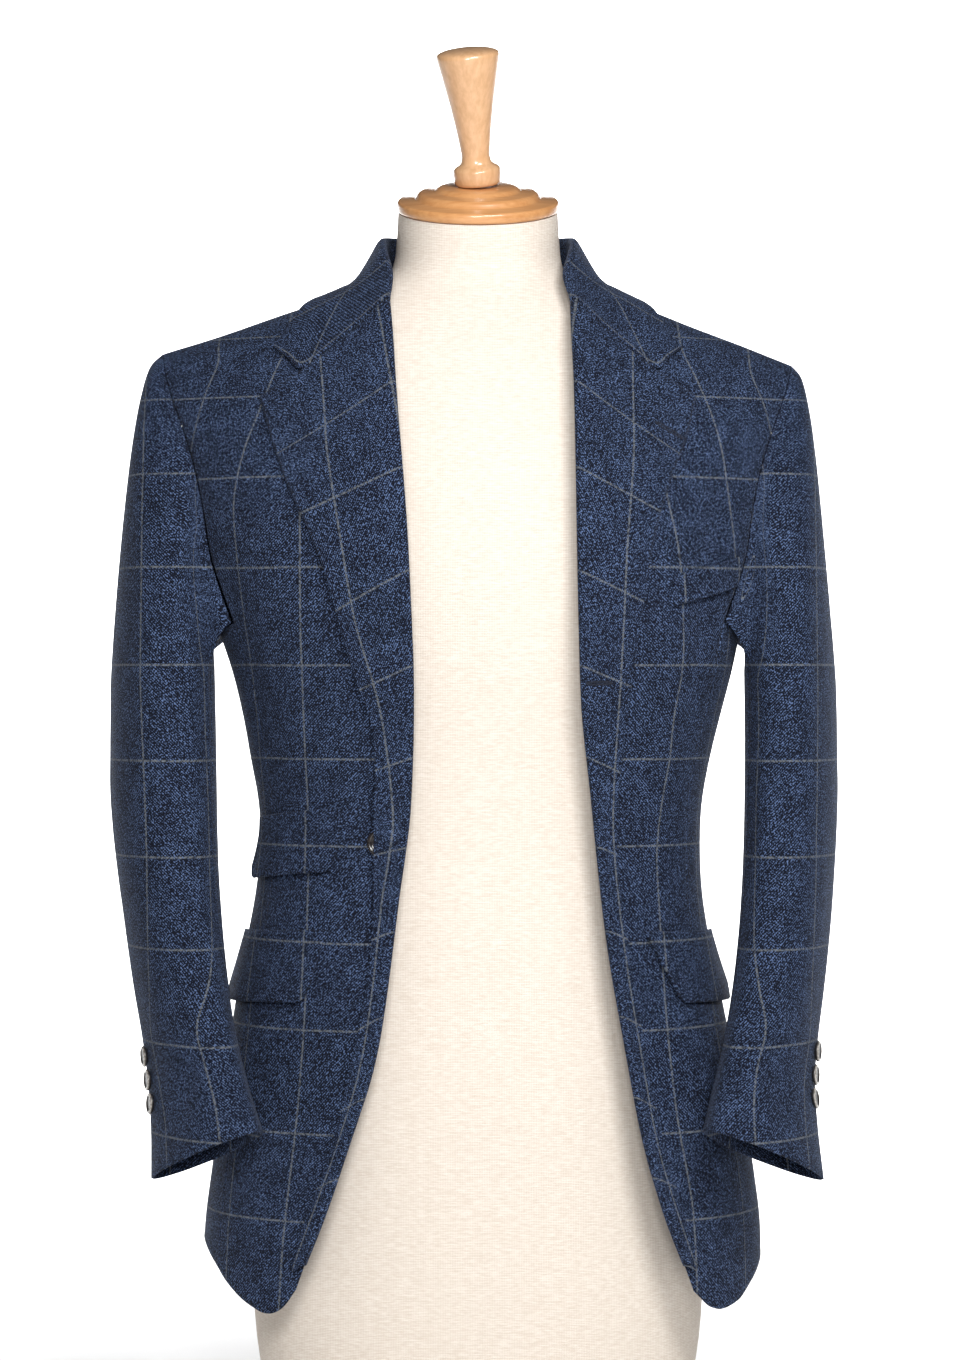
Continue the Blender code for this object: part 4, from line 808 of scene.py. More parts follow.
# %% [markdown]
# ## Canvas, beech, horn and thread
#
# The form wears a tight ivory canvas: a plain weave of two crossed waves. The cap and finial are turned from beech,
# waxed to a low shine. Noise stretched along the grain, up the finial and across the cap, gives the pores. Horn
# buttons are cut from layered horn, so a slow noise veins them, and a coat gives the polish.

# %% The other finishes
canvas, canvas_shader, flow = new_material("ivory canvas", 0.88)
place = flow.node("ShaderNodeTexCoord", output="Object")
x = flow.node("ShaderNodeSeparateXYZ", {}, {0: place}, output=0)
z = flow.node("ShaderNodeSeparateXYZ", {}, {0: place}, output=2)
THREAD_STEP = 2 * math.pi / 0.0012
weave = (x * THREAD_STEP).maths("SINE", x * THREAD_STEP) + (z * THREAD_STEP).maths("SINE", z * THREAD_STEP)
slub = place.stretched(1, 1, 6).noise(160.0, 2.0, 0.6)
tone = (weave * 0.12 + slub).ramp(0.2, 0.85)
coloured(canvas_shader, flow, tone.mix(srgb(218, 204, 189), srgb(240, 231, 220)), weave + slub, 0.0001, 0.5)


def wood(name, dark, light, along):
    material, shader, flow = new_material(name, 0.36, {"Coat Weight": 0.8, "Coat Roughness": 0.12})
    place = flow.node("ShaderNodeTexCoord", output="Object")
    grain = place.stretched(*along).noise(300.0, 4.0, 0.6)
    pores = place.stretched(*along).noise(1100.0, 1.0, 0.5).ramp(0.60, 0.75)
    tone = (pores * 0.15).mix(grain.ramp(0.25, 0.75).mix(dark, light), srgb(176, 112, 66))
    coloured(shader, flow, tone, grain, 0.0001, 0.3)
    return material


WOOD = {
    "finial": wood("pale waxed beech", srgb(210, 162, 116), srgb(228, 182, 138), (1, 1, 0.05)),
    "cap": wood("warm waxed beech", srgb(204, 142, 86), srgb(222, 164, 108), (0.05, 1, 1)),
}


def horn(name, dark, light, roughness):
    material, shader, flow = new_material(name, roughness, {"Coat Weight": 0.5, "Coat Roughness": 0.12})
    place = flow.node("ShaderNodeTexCoord", output="Object")
    veins = place.stretched(1, 1, 2.5).noise(260.0, 3.0, 0.6)
    coloured(shader, flow, veins.ramp(0.3, 0.7).mix(dark, light))
    return material


HORN = {
    "horn_dark": horn("dark horn", srgb(22, 20, 22), srgb(52, 46, 44), 0.22),
    "horn_pale": horn("pale horn", srgb(112, 106, 100), srgb(186, 180, 172), 0.32),
    # horn in shade is a darker copy of the horn that paints shade: in the holes of every button, and on the pale
    # buttons' side walls and undersides; it also darkens their dishes
    "ring": horn("horn in shade", srgb(30, 28, 30), srgb(58, 54, 52), 0.4),
}


def thread(name, dark, light):
    material, shader, flow = new_material(name, 0.8)
    place = flow.node("ShaderNodeTexCoord", output="Object")
    coloured(shader, flow, place.noise(1400.0, 2.0, 0.5).ramp(0.3, 0.7).mix(dark, light))
    return material


navy_thread = thread("navy thread", srgb(12, 15, 26), srgb(34, 41, 60))
print("materials:", [material.name for material in bpy.data.materials])

# %% [markdown]
# ## Fronts, sides and backs
#
# Each body piece is a set of rows of (angle, level) on the body surface, with the first and last row on its own
# seams. The rows level out from the curved hem to even heights, as the weft of a well cut jacket does. Neighbours
# share their row heights and the body's own normals, so their seams match and only a narrow ditch is left between.


# %% Body pieces
def body_cloth(name, side, cells, from_centre_back=False, **trims):
    """A piece of the body on rows of (angle, level)."""
    cells = np.array([[(float(angle), float(level)) for angle, level in row] for row in cells])
    angles, levels = cells[..., 0], cells[..., 1]
    grid = trimmed(body(side, angles, levels), **trims)
    normals = body_normal(side, angles, levels)
    panes = np.array([[pane_map(side, angle, level) for angle, level in row] for row in cells])
    if from_centre_back:
        panes[..., 0] -= panes[:, :1, 0] - 0.5
    if (side == RIGHT) == (angles[0, 0] < angles[0, -1]):
        grid, normals, panes = grid[:, ::-1], normals[:, ::-1], panes[:, ::-1]
    piece = wall(f"cloth_{name}", grid, panes, CLOTH, group="body", normals=normals, rim=SEAM_RIM)
    return worn(piece, name)


def upper_levels(count):
    return np.linspace(UNDERARM, SHOULDER_LEVEL, count + 1)


def rows_up(count):
    """Levels from the hem to the underarm, and this many more up to the shoulder seam."""
    return list(np.linspace(HEM_LEVEL, UNDERARM, LOW_ROWS + 1)) + list(upper_levels(count)[1:])


SEAM_LEAN = 6


def seam_angle(side, seam, behind, level):
    """The angle of a side seam, which leans into the armhole's end."""
    return seam + (arm_angle(side, UNDERARM, behind) - seam) * (level / UNDERARM) ** SEAM_LEAN


TOP_GAP = SEAM * 0.7  # at the shoulder seam, from each side


def front_piece(side):
    hem_start = math.radians(HEM[side][0].degrees)
    rows = []
    for level in rows_up(FRONT_ROWS):
        edge_level = levelled(side, hem_start, level)
        inner = angle_at(side, out_on(side, EDGE_OUT[side], edge_level), edge_level)
        outer = seam_angle(side, FRONT_SEAM, False, level) if level <= UNDERARM else arm_angle(side, level, False)
        angles = inner + (outer - inner) * np.linspace(0, 1, FRONT_COLUMNS + 1)
        rows.append([(a, levelled(side, max(a, hem_start), level)) for a in angles])
    return body_cloth(f"front_{SIDE_NAME[side]}", side, rows, top=TOP_GAP, last=SEAM / 2)


def side_piece(side):
    rows = []
    for share in np.linspace(0, 1, LOW_ROWS + 1):
        nominal = HEM_LEVEL + (UNDERARM - HEM_LEVEL) * share
        first, last = seam_angle(side, FRONT_SEAM, False, nominal), seam_angle(side, BACK_SEAM, True, nominal)
        row = []
        for angle in np.linspace(first, last, SIDE_COLUMNS + 1):
            drop = (UNDERARM - underarm_level(angle)) * share**8
            row.append((angle, levelled(side, angle, nominal) - drop))
        rows.append(row)
    half = SEAM / 2
    return body_cloth(f"side_{SIDE_NAME[side]}", side, rows, top=half, first=half, last=half)


def neck_outs():
    """How far out the corners of the back neck seam lie, from the centre back to the shoulder."""
    return NECK_OUT * np.sin(np.linspace(0, math.pi / 2, BACK_NECK_COLUMNS + 1))


def back_piece(side):
    whole = angle_at(side, ARMHOLE_BACK[-1].out, SHOULDER_LEVEL)
    shares = [angle_at(side, out, SHOULDER_LEVEL) / whole for out in neck_outs()]
    shares += list(np.linspace(shares[-1], 1, BACK_COLUMNS + 1)[1:])
    rows = []
    for level in rows_up(BACK_ROWS):
        outer = seam_angle(side, BACK_SEAM, True, level) if level <= UNDERARM else arm_angle(side, level, True)
        angles = CENTRE_BACK + (outer - CENTRE_BACK) * np.array(shares)
        rows.append([(a, levelled(side, a, level)) for a in angles])
    half = SEAM / 2
    name = f"back_{SIDE_NAME[side]}"
    return body_cloth(name, side, rows, from_centre_back=True, top=TOP_GAP, first=half, last=half)


for side in (RIGHT, LEFT):
    for made in (front_piece(side), side_piece(side), back_piece(side)):
        print(made.name, len(made.data.polygons), "faces")

# %% [markdown]
# ## Lapels that roll
#
# The lapel and the facing below it are one doubled strip that turns over the front's edge. The roll is drawn in
# section by five points, then the strip follows the front, a little above it, out to its own edge.

# %% Lapels
LAPEL_LEVELS = line_through(
    (0.100, -0.30), (0.1813, 1.0), (0.238, 2.0), (0.295, 3.0), (0.3554, 4.0), (0.4157, 5.0), (0.4805, 6.0),
    (0.546, 7.0), (0.6125, 8.0), (0.6857, 9.0), (0.7467, 10.0), (0.8080, 11.0),
)  # fmt: skip
LAPEL_GRAIN = {  # how far the upright line runs from the roll
    RIGHT: line_through((0.10, 0.012), (0.43, 0.013), (0.522, 0.026), (0.6075, 0.047), (0.714, 0.056), (0.81, 0.066)),
    LEFT: line_through((0.10, 0.012), (0.416, 0.0145), (0.522, 0.030), (0.565, 0.034), (0.65, 0.0405), (0.81, 0.060)),
}
LAPEL_BELLY, LAPEL_CURL = 0.0026, 0.0012  # how far its middle swells and its edge lifts where it rolls freely
HEM_FADE = 0.030  # the roll flattens over this height above its lower end
BELLY_SHARE = line_through((0.40, 0.0), (0.52, 0.7), (0.62, 1.0), (0.72, 0.6), (0.79, 0.0))


def turned_row(side, edge_height, turned_height, turned_out, notch_drop=0.0):
    """One row of the lapel's middle surface: round the roll, then out to the turned edge."""
    edge_out = float(EDGE_OUT[side](edge_height))
    root = front_at(side, edge_out, edge_height)
    level = level_of(side, edge_out, edge_height)
    normal = body_normal(side, angle_at(side, edge_out, level), level)
    fall = (turned_height - edge_height) / (turned_out - edge_out)
    past = unit(root - front_at(side, edge_out + 0.01, edge_height + 0.01 * fall))
    narrow = min((turned_out - edge_out) / NARROW, 1.0)
    flat = 0.45 + 0.55 * min((edge_height - TURN_BACK[side][0].edge_height) / HEM_FADE, 1.0)
    row = [root + past * p.past * (flat if p.past > 0 else narrow) + normal * p.over for p in ROLL]
    for share in LAPEL_COLUMNS:
        out = edge_out + (turned_out - edge_out) * share
        height = edge_height + (turned_height - edge_height) * share - notch_drop * math.sin(math.pi * share)
        lift = LIFT_AT_ROLL + (LIFT_AT_EDGE - LIFT_AT_ROLL) * share
        lift += (LAPEL_BELLY * math.sin(math.pi * share) + LAPEL_CURL * share**4) * float(BELLY_SHARE(edge_height))
        if side == RIGHT:
            near = (height - FRONT_BUTTON_HEIGHT) / BUTTON_BULGE_HALF
            lift += BUTTON_BULGE * math.exp(-near * near)
        row.append(front_at(side, out, height, lift))
    return row


def lengths_along(row):
    """Distances along a row of points from its start."""
    return np.concatenate([[0], np.cumsum(np.linalg.norm(np.diff(row, axis=0), axis=1))])


TURNED_TO = {
    side: [table_curve(TURN_BACK[side], "edge_height", column) for column in ("turned_height", "turned_out")]
    for side in TURN_BACK
}


def lapel_row(side, height, notch_drop=0.0):
    """The lapel's row that leaves the front's edge at this height."""
    return np.array(turned_row(side, height, *(float(column(height)) for column in TURNED_TO[side]), notch_drop))


def lapel(side, count=26):
    table = TURN_BACK[side]
    bottom, top = table[0].edge_height, table[-1].edge_height
    lines, panes = [], []
    for share in np.linspace(0, 1, count + 1):
        height = bottom + (top - bottom) * share
        row = lapel_row(side, height, NOTCH_DROP * share**12)
        along = lengths_along(row)
        across = (along - along[2] - float(LAPEL_GRAIN[side](height))) / PANE_WIDE
        lines.append(row)
        panes.append(np.stack([across, np.full(len(row), float(LAPEL_LEVELS(height)))], axis=-1))
    grid, panes = trimmed(np.array(lines), top=GORGE_GAP), np.array(panes)
    name = f"lapel_{SIDE_NAME[side]}"
    piece = wall(f"cloth_{name}", outward(grid, side), outward(panes, side), DOUBLED, middle=True)
    return worn(piece, name)


for side in (RIGHT, LEFT):
    made = lapel(side)
    print(made.name, len(made.data.polygons), "faces")

# %% [markdown]
# ## The collar
#
# Under collar, stand and fall are one wall here, folded over at the break line. Its front ends lie on the same rows
# as the lapels' tops, so that the gorge seams stay narrow. From there the stand rises from the neck seam, which is
# followed corner by corner, and the fall drops over the shoulder, held clear of it.


# %% Collar
HALVINGS = 30


def shoulder_under(side, out, y):
    """The jacket's face straight below or above a point over the shoulder, and its normal."""
    low, high = UNDERARM, SHOULDER_LEVEL
    for _ in range(HALVINGS):
        level = (low + high) / 2
        angle = angle_at(side, out, level)
        angle = math.pi - angle if y > 0 else angle
        below = abs(body(side, angle, level)[1]) > abs(y)
        low, high = (level, high) if below else (low, level)
    return body(side, angle, level), body_normal(side, angle, level)


def gorge_section(side):
    """The collar's front end: round the roll as the lapel does, along the gorge seam, and out to its point."""
    top = TURN_BACK[side][-1]
    row = turned_row(side, GORGE_END, top.turned_height, top.turned_out, NOTCH_DROP)
    notch = row[len(ROLL) + NOTCH_COLUMN]
    point = front_at(side, COLLAR_POINT.out, COLLAR_POINT.height, LIFT_AT_EDGE + 0.0004)
    return row[: len(ROLL) + 2] + [notch, (notch + point) / 2, point]


def collar_section(side, seam, station):
    """From the neck seam up the stand, over the break line and down the fall."""
    crest = np.array([side * station.break_out, station.break_y, station.break_height])
    end = np.array([side * station.fall_out, station.fall_y, station.fall_height])
    outwards = unit((end - crest) * (1, 1, 0))
    stand_top = crest - outwards * COLLAR_FOLD - (0, 0, COLLAR_FOLD)
    fall_top = crest + outwards * COLLAR_FOLD - (0, 0, COLLAR_FOLD)
    foot = seam[0] + seam[1] * STAND_GAP
    row = [foot, foot + (stand_top - foot) * 0.5, stand_top, crest, fall_top]
    for share in np.linspace(0, 1, COLLAR_ROWS + 1)[1:]:
        p = fall_top + (end - fall_top) * share - (0, 0, station.hollow * math.sin(math.pi * share))
        face, normal = shoulder_under(side, abs(p[0]), p[1])
        p[2] = max(p[2], face[2] + COLLAR_LIFT / max(normal[2], 0.3))
        row.append(p)
    return row


def neck_corners(side):
    """Corners of the neck edge in the middle of its wall, from the gorge to the centre back, and the way past each."""
    corners, past = [], []
    for level in upper_levels(FRONT_ROWS)[:-1]:
        out = out_on(side, EDGE_OUT[side], level)
        angle = angle_at(side, out, level)
        if height_of(side, out, level) > GORGE_END:
            corners.append(body(side, angle, level) - body_normal(side, angle, level) * CLOTH / 2)
            past.append(unit(body(side, angle, level) - body(side, angle + 0.02, level)))
    for out in neck_outs()[::-1]:
        y, height = top_line(side, out, True)
        corners.append(np.array([side * out, float(y), float(height) - CLOTH / 2]))
        past.append(-unit(np.array([side * out, float(y), 0.0])))
    return np.array(corners), np.array(past)


def neck_seam(side, corner):
    """A point between two corners of the neck edge, and the way past it."""
    rows = neck_corners(side)
    low = min(int(corner), len(rows[0]) - 2)
    point, past = (row[low] + (row[low + 1] - row[low]) * (corner - low) for row in rows)
    return point, unit(past)


def collar():
    sections = []
    for side in (RIGHT, LEFT):
        half = [gorge_section(side)]
        half += [collar_section(side, neck_seam(side, station.corner), station) for station in COLLAR]
        half = np.array(half)
        sections.append(half if side == RIGHT else half[-2::-1])
    grid = trimmed(np.concatenate(sections), bottom=GORGE_GAP, top=GORGE_GAP)[::-1]
    along = lengths_along(grid[:, 6])
    along -= along[len(along) // 2]
    panes = [
        np.stack([np.full(len(row), s / PANE_WIDE + 0.5), 0.62 - lengths_along(row[::-1])[::-1] / PANE_HIGH], axis=-1)
        for row, s in zip(grid, along)
    ]
    return worn(wall("cloth_collar", grid, np.array(panes), DOUBLED, steps=8, middle=True), "collar")


print(len(collar().data.polygons), "faces in the collar")

# %% [markdown]
# ## Sleeves in two pieces
#
# A tailored sleeve has a wide top piece and a narrow under piece, and bends at the elbow. Slanted rings give its
# form, turned towards the front as a hanging arm is. The sleevehead is a bundle of curves that leave the armhole
# outwards and drop to the first ring, which makes the roped edge at the shoulder.


# %% Sleeve form
def armhole_branch(side, behind, levels, side_columns):
    """The armhole from the shoulder tip down its front or back to the underarm."""
    points = [body(side, arm_angle(side, level, behind), level) for level in levels[::-1]]
    for angle in np.linspace(arm_angle(side, UNDERARM, behind), math.pi / 2, side_columns + 1)[1:]:
        points.append(body(side, angle, underarm_level(angle)))
    return np.array(points)


def armhole(side):
    """The corners of the armhole, with each one's share of the way round."""
    points, shares = [], []
    for behind, rows in ((False, FRONT_ROWS), (True, BACK_ROWS)):
        branch = armhole_branch(side, behind, upper_levels(rows), SIDE_COLUMNS // 2)
        share = lengths_along(branch) / lengths_along(branch)[-1] / 2
        if behind:
            branch, share = branch[-2:0:-1], 1 - share[-2:0:-1]
        points += list(branch)
        shares += list(share)
    return np.array(points), np.array(shares)


def ring_point(side, ring, turn_share):
    """A point of a sleeve ring's outer face: 0 is its outside, 0.25 its front, 0.5 its inside."""
    turn = math.radians(ring.turn)
    half, middle = (ring.outer - ring.inner) / 2, (ring.outer + ring.inner) / 2
    short = math.sqrt(half**2 - (ring.reach * math.sin(turn)) ** 2) / math.cos(turn)
    sideways = short * bowed(math.cos(2 * math.pi * turn_share), SLEEVE_CORNER)
    forward = ring.reach * bowed(math.sin(2 * math.pi * turn_share), SLEEVE_CORNER)
    out = sideways * math.cos(turn) - forward * math.sin(turn)
    front = sideways * math.sin(turn) + forward * math.cos(turn)
    drop = ring.slant * (CUFF_SLOPE_OUT * out - CUFF_SLOPE_BACK * front)
    return np.array([side * (middle + out), ring.middle_y - front, ring.height - drop])


def ring_at(side, height):
    """The sleeve's ring at a height between those of the table."""
    columns = [table_curve(SLEEVE[side], "height", name) for name in Ring._fields[1:]]
    return Ring(height, *(float(column(height)) for column in columns))


def head_curve(side, start_point, end_point, turn_share):
    """The sleevehead: a curve from the armhole out and down to the first full ring."""
    top = (1 + math.cos(2 * math.pi * turn_share)) / 2  # 1 on the outside, 0 at the underarm
    drop = start_point[2] - end_point[2]
    leave = np.array([side * (0.007 + HEAD[side].leave * top), 0.0, -0.006 * (1 - top)])
    arrive = np.array([-side * HEAD[side].arrive * top, 0.0, drop * 0.46])
    return start_point + np.array([side * SEAM * 0.8, 0, 0]), start_point + leave, end_point + arrive, end_point


def bezier(control, share):
    a, b, c, d = control
    rest = 1 - share
    return a * rest**3 + 3 * b * rest**2 * share + 3 * c * rest * share**2 + d * share**3


def sleeve_grid(side):
    """The whole sleeve, ring by ring, and the share of the way round of its columns."""
    starts, shares = armhole(side)
    first = SLEEVE[side][0]
    controls = [head_curve(side, p, ring_point(side, first, t), t) for p, t in zip(starts, shares)]
    rows = [[bezier(c, share) for c in controls] for share in np.linspace(0, 1, HEAD_RINGS + 1)[:-1] ** 0.9]
    for height in np.linspace(first.height, SLEEVE[side][-1].height, SLEEVE_BODY_RINGS):
        ring = ring_at(side, height)
        rows.append([ring_point(side, ring, t) for t in shares])
    return np.array(rows), shares


# %% Sleeve cloth
SLEEVE_ROWS = line_through(
    (0.150, -1.0), (0.211, 0.0), (0.2755, 1.0), (0.343, 2.0), (0.4085, 3.0), (0.478, 4.0), (0.5475, 5.0),
    (0.6185, 6.0), (0.6867, 7.0), (0.7415, 8.0), (0.790, 9.0),
)  # fmt: skip
SLEEVE_LINE = {  # how far out the upright line runs on the front of a sleeve
    RIGHT: line_through((0.18, 0.2303), (0.272, 0.2347), (0.448, 0.2402), (0.54, 0.2440), (0.64, 0.2454)),
    LEFT: line_through((0.18, 0.2350), (0.300, 0.2399), (0.412, 0.2450), (0.54, 0.2469), (0.71, 0.2454)),
}


def sleeve_panes(side, grid, shares):
    """Pane coordinates of a whole sleeve: the length of cloth round each ring, from its outside to the front."""
    front = shares <= 0.5
    panes = np.empty((*grid.shape[:2], 2))
    for ring, row in enumerate(grid):
        closed = np.concatenate([row, row[:1]])
        along = lengths_along(closed)
        place = np.where(front, along[:-1], along[:-1] - along[-1])
        if ring >= HEAD_RINGS:
            outs = np.abs(row[front, 0])
            marked = np.interp(float(SLEEVE_LINE[side](row[0, 2])), outs[::-1], place[front][::-1])
            panes[ring, :, 0] = (place - marked) / PANE_WIDE
        panes[ring, :, 1] = SLEEVE_ROWS(row[:, 2])
    first = np.abs(grid[HEAD_RINGS, :, 0])
    for half in (front, ~front):  # on the head, the upright lines rise straight from the first full ring
        order = np.argsort(first[half])
        outs, across = first[half][order], panes[HEAD_RINGS, half, 0][order]
        inside = np.sign(across[0] - across[-1]) / PANE_WIDE
        for ring in range(HEAD_RINGS):
            out = np.abs(grid[ring, half, 0])
            panes[ring, half, 0] = np.interp(out, outs, across) + inside * np.maximum(outs[0] - out, 0)
    return panes


def sleeve(side):
    grid, shares = sleeve_grid(side)
    normals = grid_normals(np.concatenate([grid[:, -1:], grid, grid[:, :1]], axis=1))[:, 1:-1] * side
    normals[0] = unit(normals[0] * (0, 1, 1))  # the wall meets the body's wall edge to edge
    panes = sleeve_panes(side, grid, shares)
    seam = SEAM * 0.6
    count = len(shares)
    fore = int(np.argmin(abs(shares - FORE_SEAM)))
    hind = int(np.argmin(abs(shares - (HIND_SEAM + 1))))
    spans = {"top_sleeve": range(hind - count, fore + 1), "under_sleeve": range(fore, hind + 1)}
    for name, span in spans.items():
        columns = [i % count for i in span]
        piece_panes = panes[:, columns].copy()
        jump = np.concatenate([[0], np.cumsum(np.diff(piece_panes[HEAD_RINGS, :, 0]) < -1)])
        piece_panes[..., 0] += jump * (lengths_along(np.concatenate([grid[-1], grid[-1, :1]]))[-1] / PANE_WIDE)
        piece = wall(
            f"cloth_{name}_{SIDE_NAME[side]}",
            outward(trimmed(grid[:, columns], first=seam, last=seam), side),
            outward(piece_panes, side),
            CLOTH,
            group=SIDE_NAME[side],
            normals=outward(normals[:, columns], side),
            rim=SEAM_RIM,
        )
        worn(piece, f"{name}_{SIDE_NAME[side]}")
        print(piece.name, len(piece.data.polygons), "faces")


for side in (RIGHT, LEFT):
    sleeve(side)

# %% [markdown]
# ## Pockets
#
# Flaps and the breast welt lie on the front, so each is a patch of the same surface moved out: close at its sewn
# edge, free at its lower edge. Their check is read from the body's own map, because a good maker matches it across
# every pocket.


# %% Flaps and welt
def patch(name, side, near, far, top, bottom, lifts, columns, cells_down):
    """A piece that lies on the body between two angles; top and bottom are functions of the share across."""
    lift_top, lift_near, lift_far = lifts
    grid, panes = [], []
    for down in np.linspace(1, 0, cells_down + 1):
        cells = []
        for share in columns:
            angle = math.radians(near(down) + (far(down) - near(down)) * share)
            height = top(share) + (bottom(share) - top(share)) * down
            out = half_width(side, height) * bowed(math.sin(angle), CORNER)
            cells.append((angle, float(height if height <= UNDERARM else level_of(side, out, height))))
        lows = lift_near + (lift_far - lift_near) * np.array(columns) ** 2
        overs = FLAP_WALL + lift_top + (lows - lift_top) * down**1.5
        grid.append([body(side, a, h) + body_normal(side, a, h) * over for (a, h), over in zip(cells, overs)])
        panes.append([pane_map(side, a, h) for a, h in cells])
    grid, panes = np.array(grid), np.array(panes)
    return wall(name, outward(grid, side), outward(panes, side), FLAP_WALL)


def flap(node, size):
    corner = size.corner / (0.13 * (size.far - size.near) / 50)  # the rounding as a share of the width

    def top(share):
        return size.top_near + (size.top_far - size.top_near) * share

    def bottom(share):
        inside = max(1 - min(share, 1 - share) / corner, 0)
        return top(share) - size.depth + size.corner * (1 - math.sqrt(1 - inside**2))

    piece = patch(
        f"cloth_{node}",
        size.side,
        lambda down: size.near + (size.near_low - size.near) * down,
        lambda down: size.far + (size.far_low - size.far) * down,
        top,
        bottom,
        (FLAP_LIFT_TOP, FLAP_LIFT_NEAR, FLAP_LIFT_FAR),
        (0, 0.03, 0.075, 0.15, 0.32, 0.5, 0.68, 0.85, 0.925, 0.97, 1),
        3,
    )
    return worn(piece, node)


def welt_top(share):
    return WELT.top_near + (WELT.top_far - WELT.top_near) * share


for node, size in FLAPS.items():
    print(flap(node, size).name)
welt = patch(
    "cloth_breast_welt",
    LEFT,
    lambda down: WELT.near,
    lambda down: WELT.far,
    welt_top,
    lambda share: welt_top(share) - WELT.depth,
    (WELT_LIFT, WELT_LIFT, WELT_LIFT),
    np.linspace(0, 1, 8),
    2,
)
print(worn(welt, "breast_welt").name)

# %% [markdown]
# ## Turned pieces: buttons, cap and finial
#
# Buttons, neck cap and finial are all made on a lathe, so one function turns a profile about an axis. Each corner of
# the profile is eased with a short chamfer: a real edge is never sharp, and the highlight along it says "polished".


# %% Lathe
def eased(profile, ease):
    """The profile with its corners cut by a short chamfer."""
    points = np.array([(p[0], p[1]) for p in profile], float)
    made = [points[0]]
    for before, here, after in zip(points, points[1:], points[2:]):
        for other in (before, after):
            way = other - here
            made.append(here + way * min(ease / max(np.linalg.norm(way), 1e-9), 0.35))
    made.append(points[-1])
    return np.array(made)


def closed_rings(name, rings, ends, material, sharp):
    """Rings of points joined into one closed mesh, with a point at each end; edges over sharp degrees stay sharp."""
    sides, last = len(rings[0]), (len(rings) - 1) * len(rings[0])
    points = np.concatenate([*rings, [ends[0]], [ends[1]]])
    bottom, top = len(points) - 2, len(points) - 1
    faces = []
    for c in range(sides):
        d = (c + 1) % sides
        faces.append((bottom, d, c))
        faces.append((top, last + c, last + d))
        for r in range(0, last, sides):
            faces.append((r + c, r + d, r + sides + d, r + sides + c))
    made = mesh_object(name, points, faces, material)
    made.data.set_sharp_from_angle(angle=math.radians(sharp))
    return made


def lathe(name, profile, base, axis, material, sides, ease):
    """A turned solid: (distance along the axis, radius) pairs, its ends closed with a point on the axis."""
    axis = unit(np.array(axis, float))
    across = unit(np.cross(axis, (0.0, 1.0, 0.0) if abs(axis[1]) < 0.9 else (1.0, 0.0, 0.0)))
    other = np.cross(axis, across)
    around = np.linspace(0, 2 * math.pi, sides, endpoint=False)[:, None]
    wheel = np.cos(around) * across + np.sin(around) * other
    profile = eased(profile, ease)
    rings = [np.array(base) + axis * along + wheel * radius for along, radius in profile]
    ends = base + axis * profile[0][0], base + axis * profile[-1][0]
    return closed_rings(name, rings, ends, material, 35)


def joined(name, things):
    """Several objects made one, keeping their materials."""
    with bpy.context.temp_override(active_object=things[0], selected_editable_objects=things, object=things[0]):
        bpy.ops.object.join()
    things[0].name = name
    return things[0]


BUTTON_PROFILE = ((0.0, 0.80), (0.35, 1.0), (0.78, 0.985), (1.0, 0.88), (0.95, 0.76), (0.66, 0.62), (0.62, 0.30))
# RING_FROM to RING_TO is the band of a pale button's rim top that keeps the pale horn; the faces outside it get horn in
# shade, painted shade on the side wall and underside, and a darker dish
RING_FROM, RING_TO = 0.70, 0.99  # the pale ring, as shares of the radius


def horn_button(node, middle, normal, radius, thick, finish, turn=0.0):
    """A four-hole button: a raised rim round a dished face, and four holes, each a disc of painted shade."""
    rim = [(thick * along, radius * out) for along, out in BUTTON_PROFILE]
    across = unit(np.cross(normal, (0.0, 0.0, 1.0)))
    upright = np.cross(across, normal)
    parts = [lathe(f"horn_{node}", rim, middle, normal, HORN[finish], 40, radius * 0.03)]
    for quarter in range(4):
        angle = turn + math.pi / 4 + quarter * math.pi / 2
        spot = middle + (across * math.cos(angle) + upright * math.sin(angle)) * radius * 0.24
        hole = [(thick * 0.60, radius * 0.105), (thick * 0.665, radius * 0.095)]
        # each hole is a thin disc of horn in shade: painted shade where the hole goes through
        parts.append(lathe(f"hole_{quarter}", hole, spot, normal, HORN["ring"], 12, 0.0))
    made = joined(f"horn_{node}", parts)
    # on a pale button only the rim's upward faces keep the pale horn; all other faces get horn in shade, which paints
    # the shade of the side wall and underside and darkens the dish
    if finish == "horn_pale":  # dark horn with a pale ring on its rim
        made.data.materials.append(HORN["ring"])
        dark = len(made.data.materials) - 1
        for face in made.data.polygons:
            out = np.linalg.norm(np.cross(np.array(face.center) - middle, normal)) / radius
            faces_out = np.dot(face.normal, normal) > 0.35
            if face.material_index == 0 and not (faces_out and RING_FROM < out < RING_TO):
                face.material_index = dark
    return made


SETTLE_ON_RING = 12


def cuff_face(side, turn_share, height):
    """A point of the sleeve's outer face at this real height, found by moving along its slanted rings."""
    ring_height = height
    for _ in range(SETTLE_ON_RING):
        ring_height += height - ring_point(side, ring_at(side, ring_height), turn_share)[2]
    return ring_point(side, ring_at(side, ring_height), turn_share)


def cuff_frame(side, height, share=CUFF_BUTTON_ROUND):
    """A point of the cuff and its outward normal."""
    middle = cuff_face(side, share, height)
    around = cuff_face(side, share + 0.01, height) - cuff_face(side, share - 0.01, height)
    return middle, unit(side * np.cross(cuff_face(side, share, height + 0.004) - middle, around))


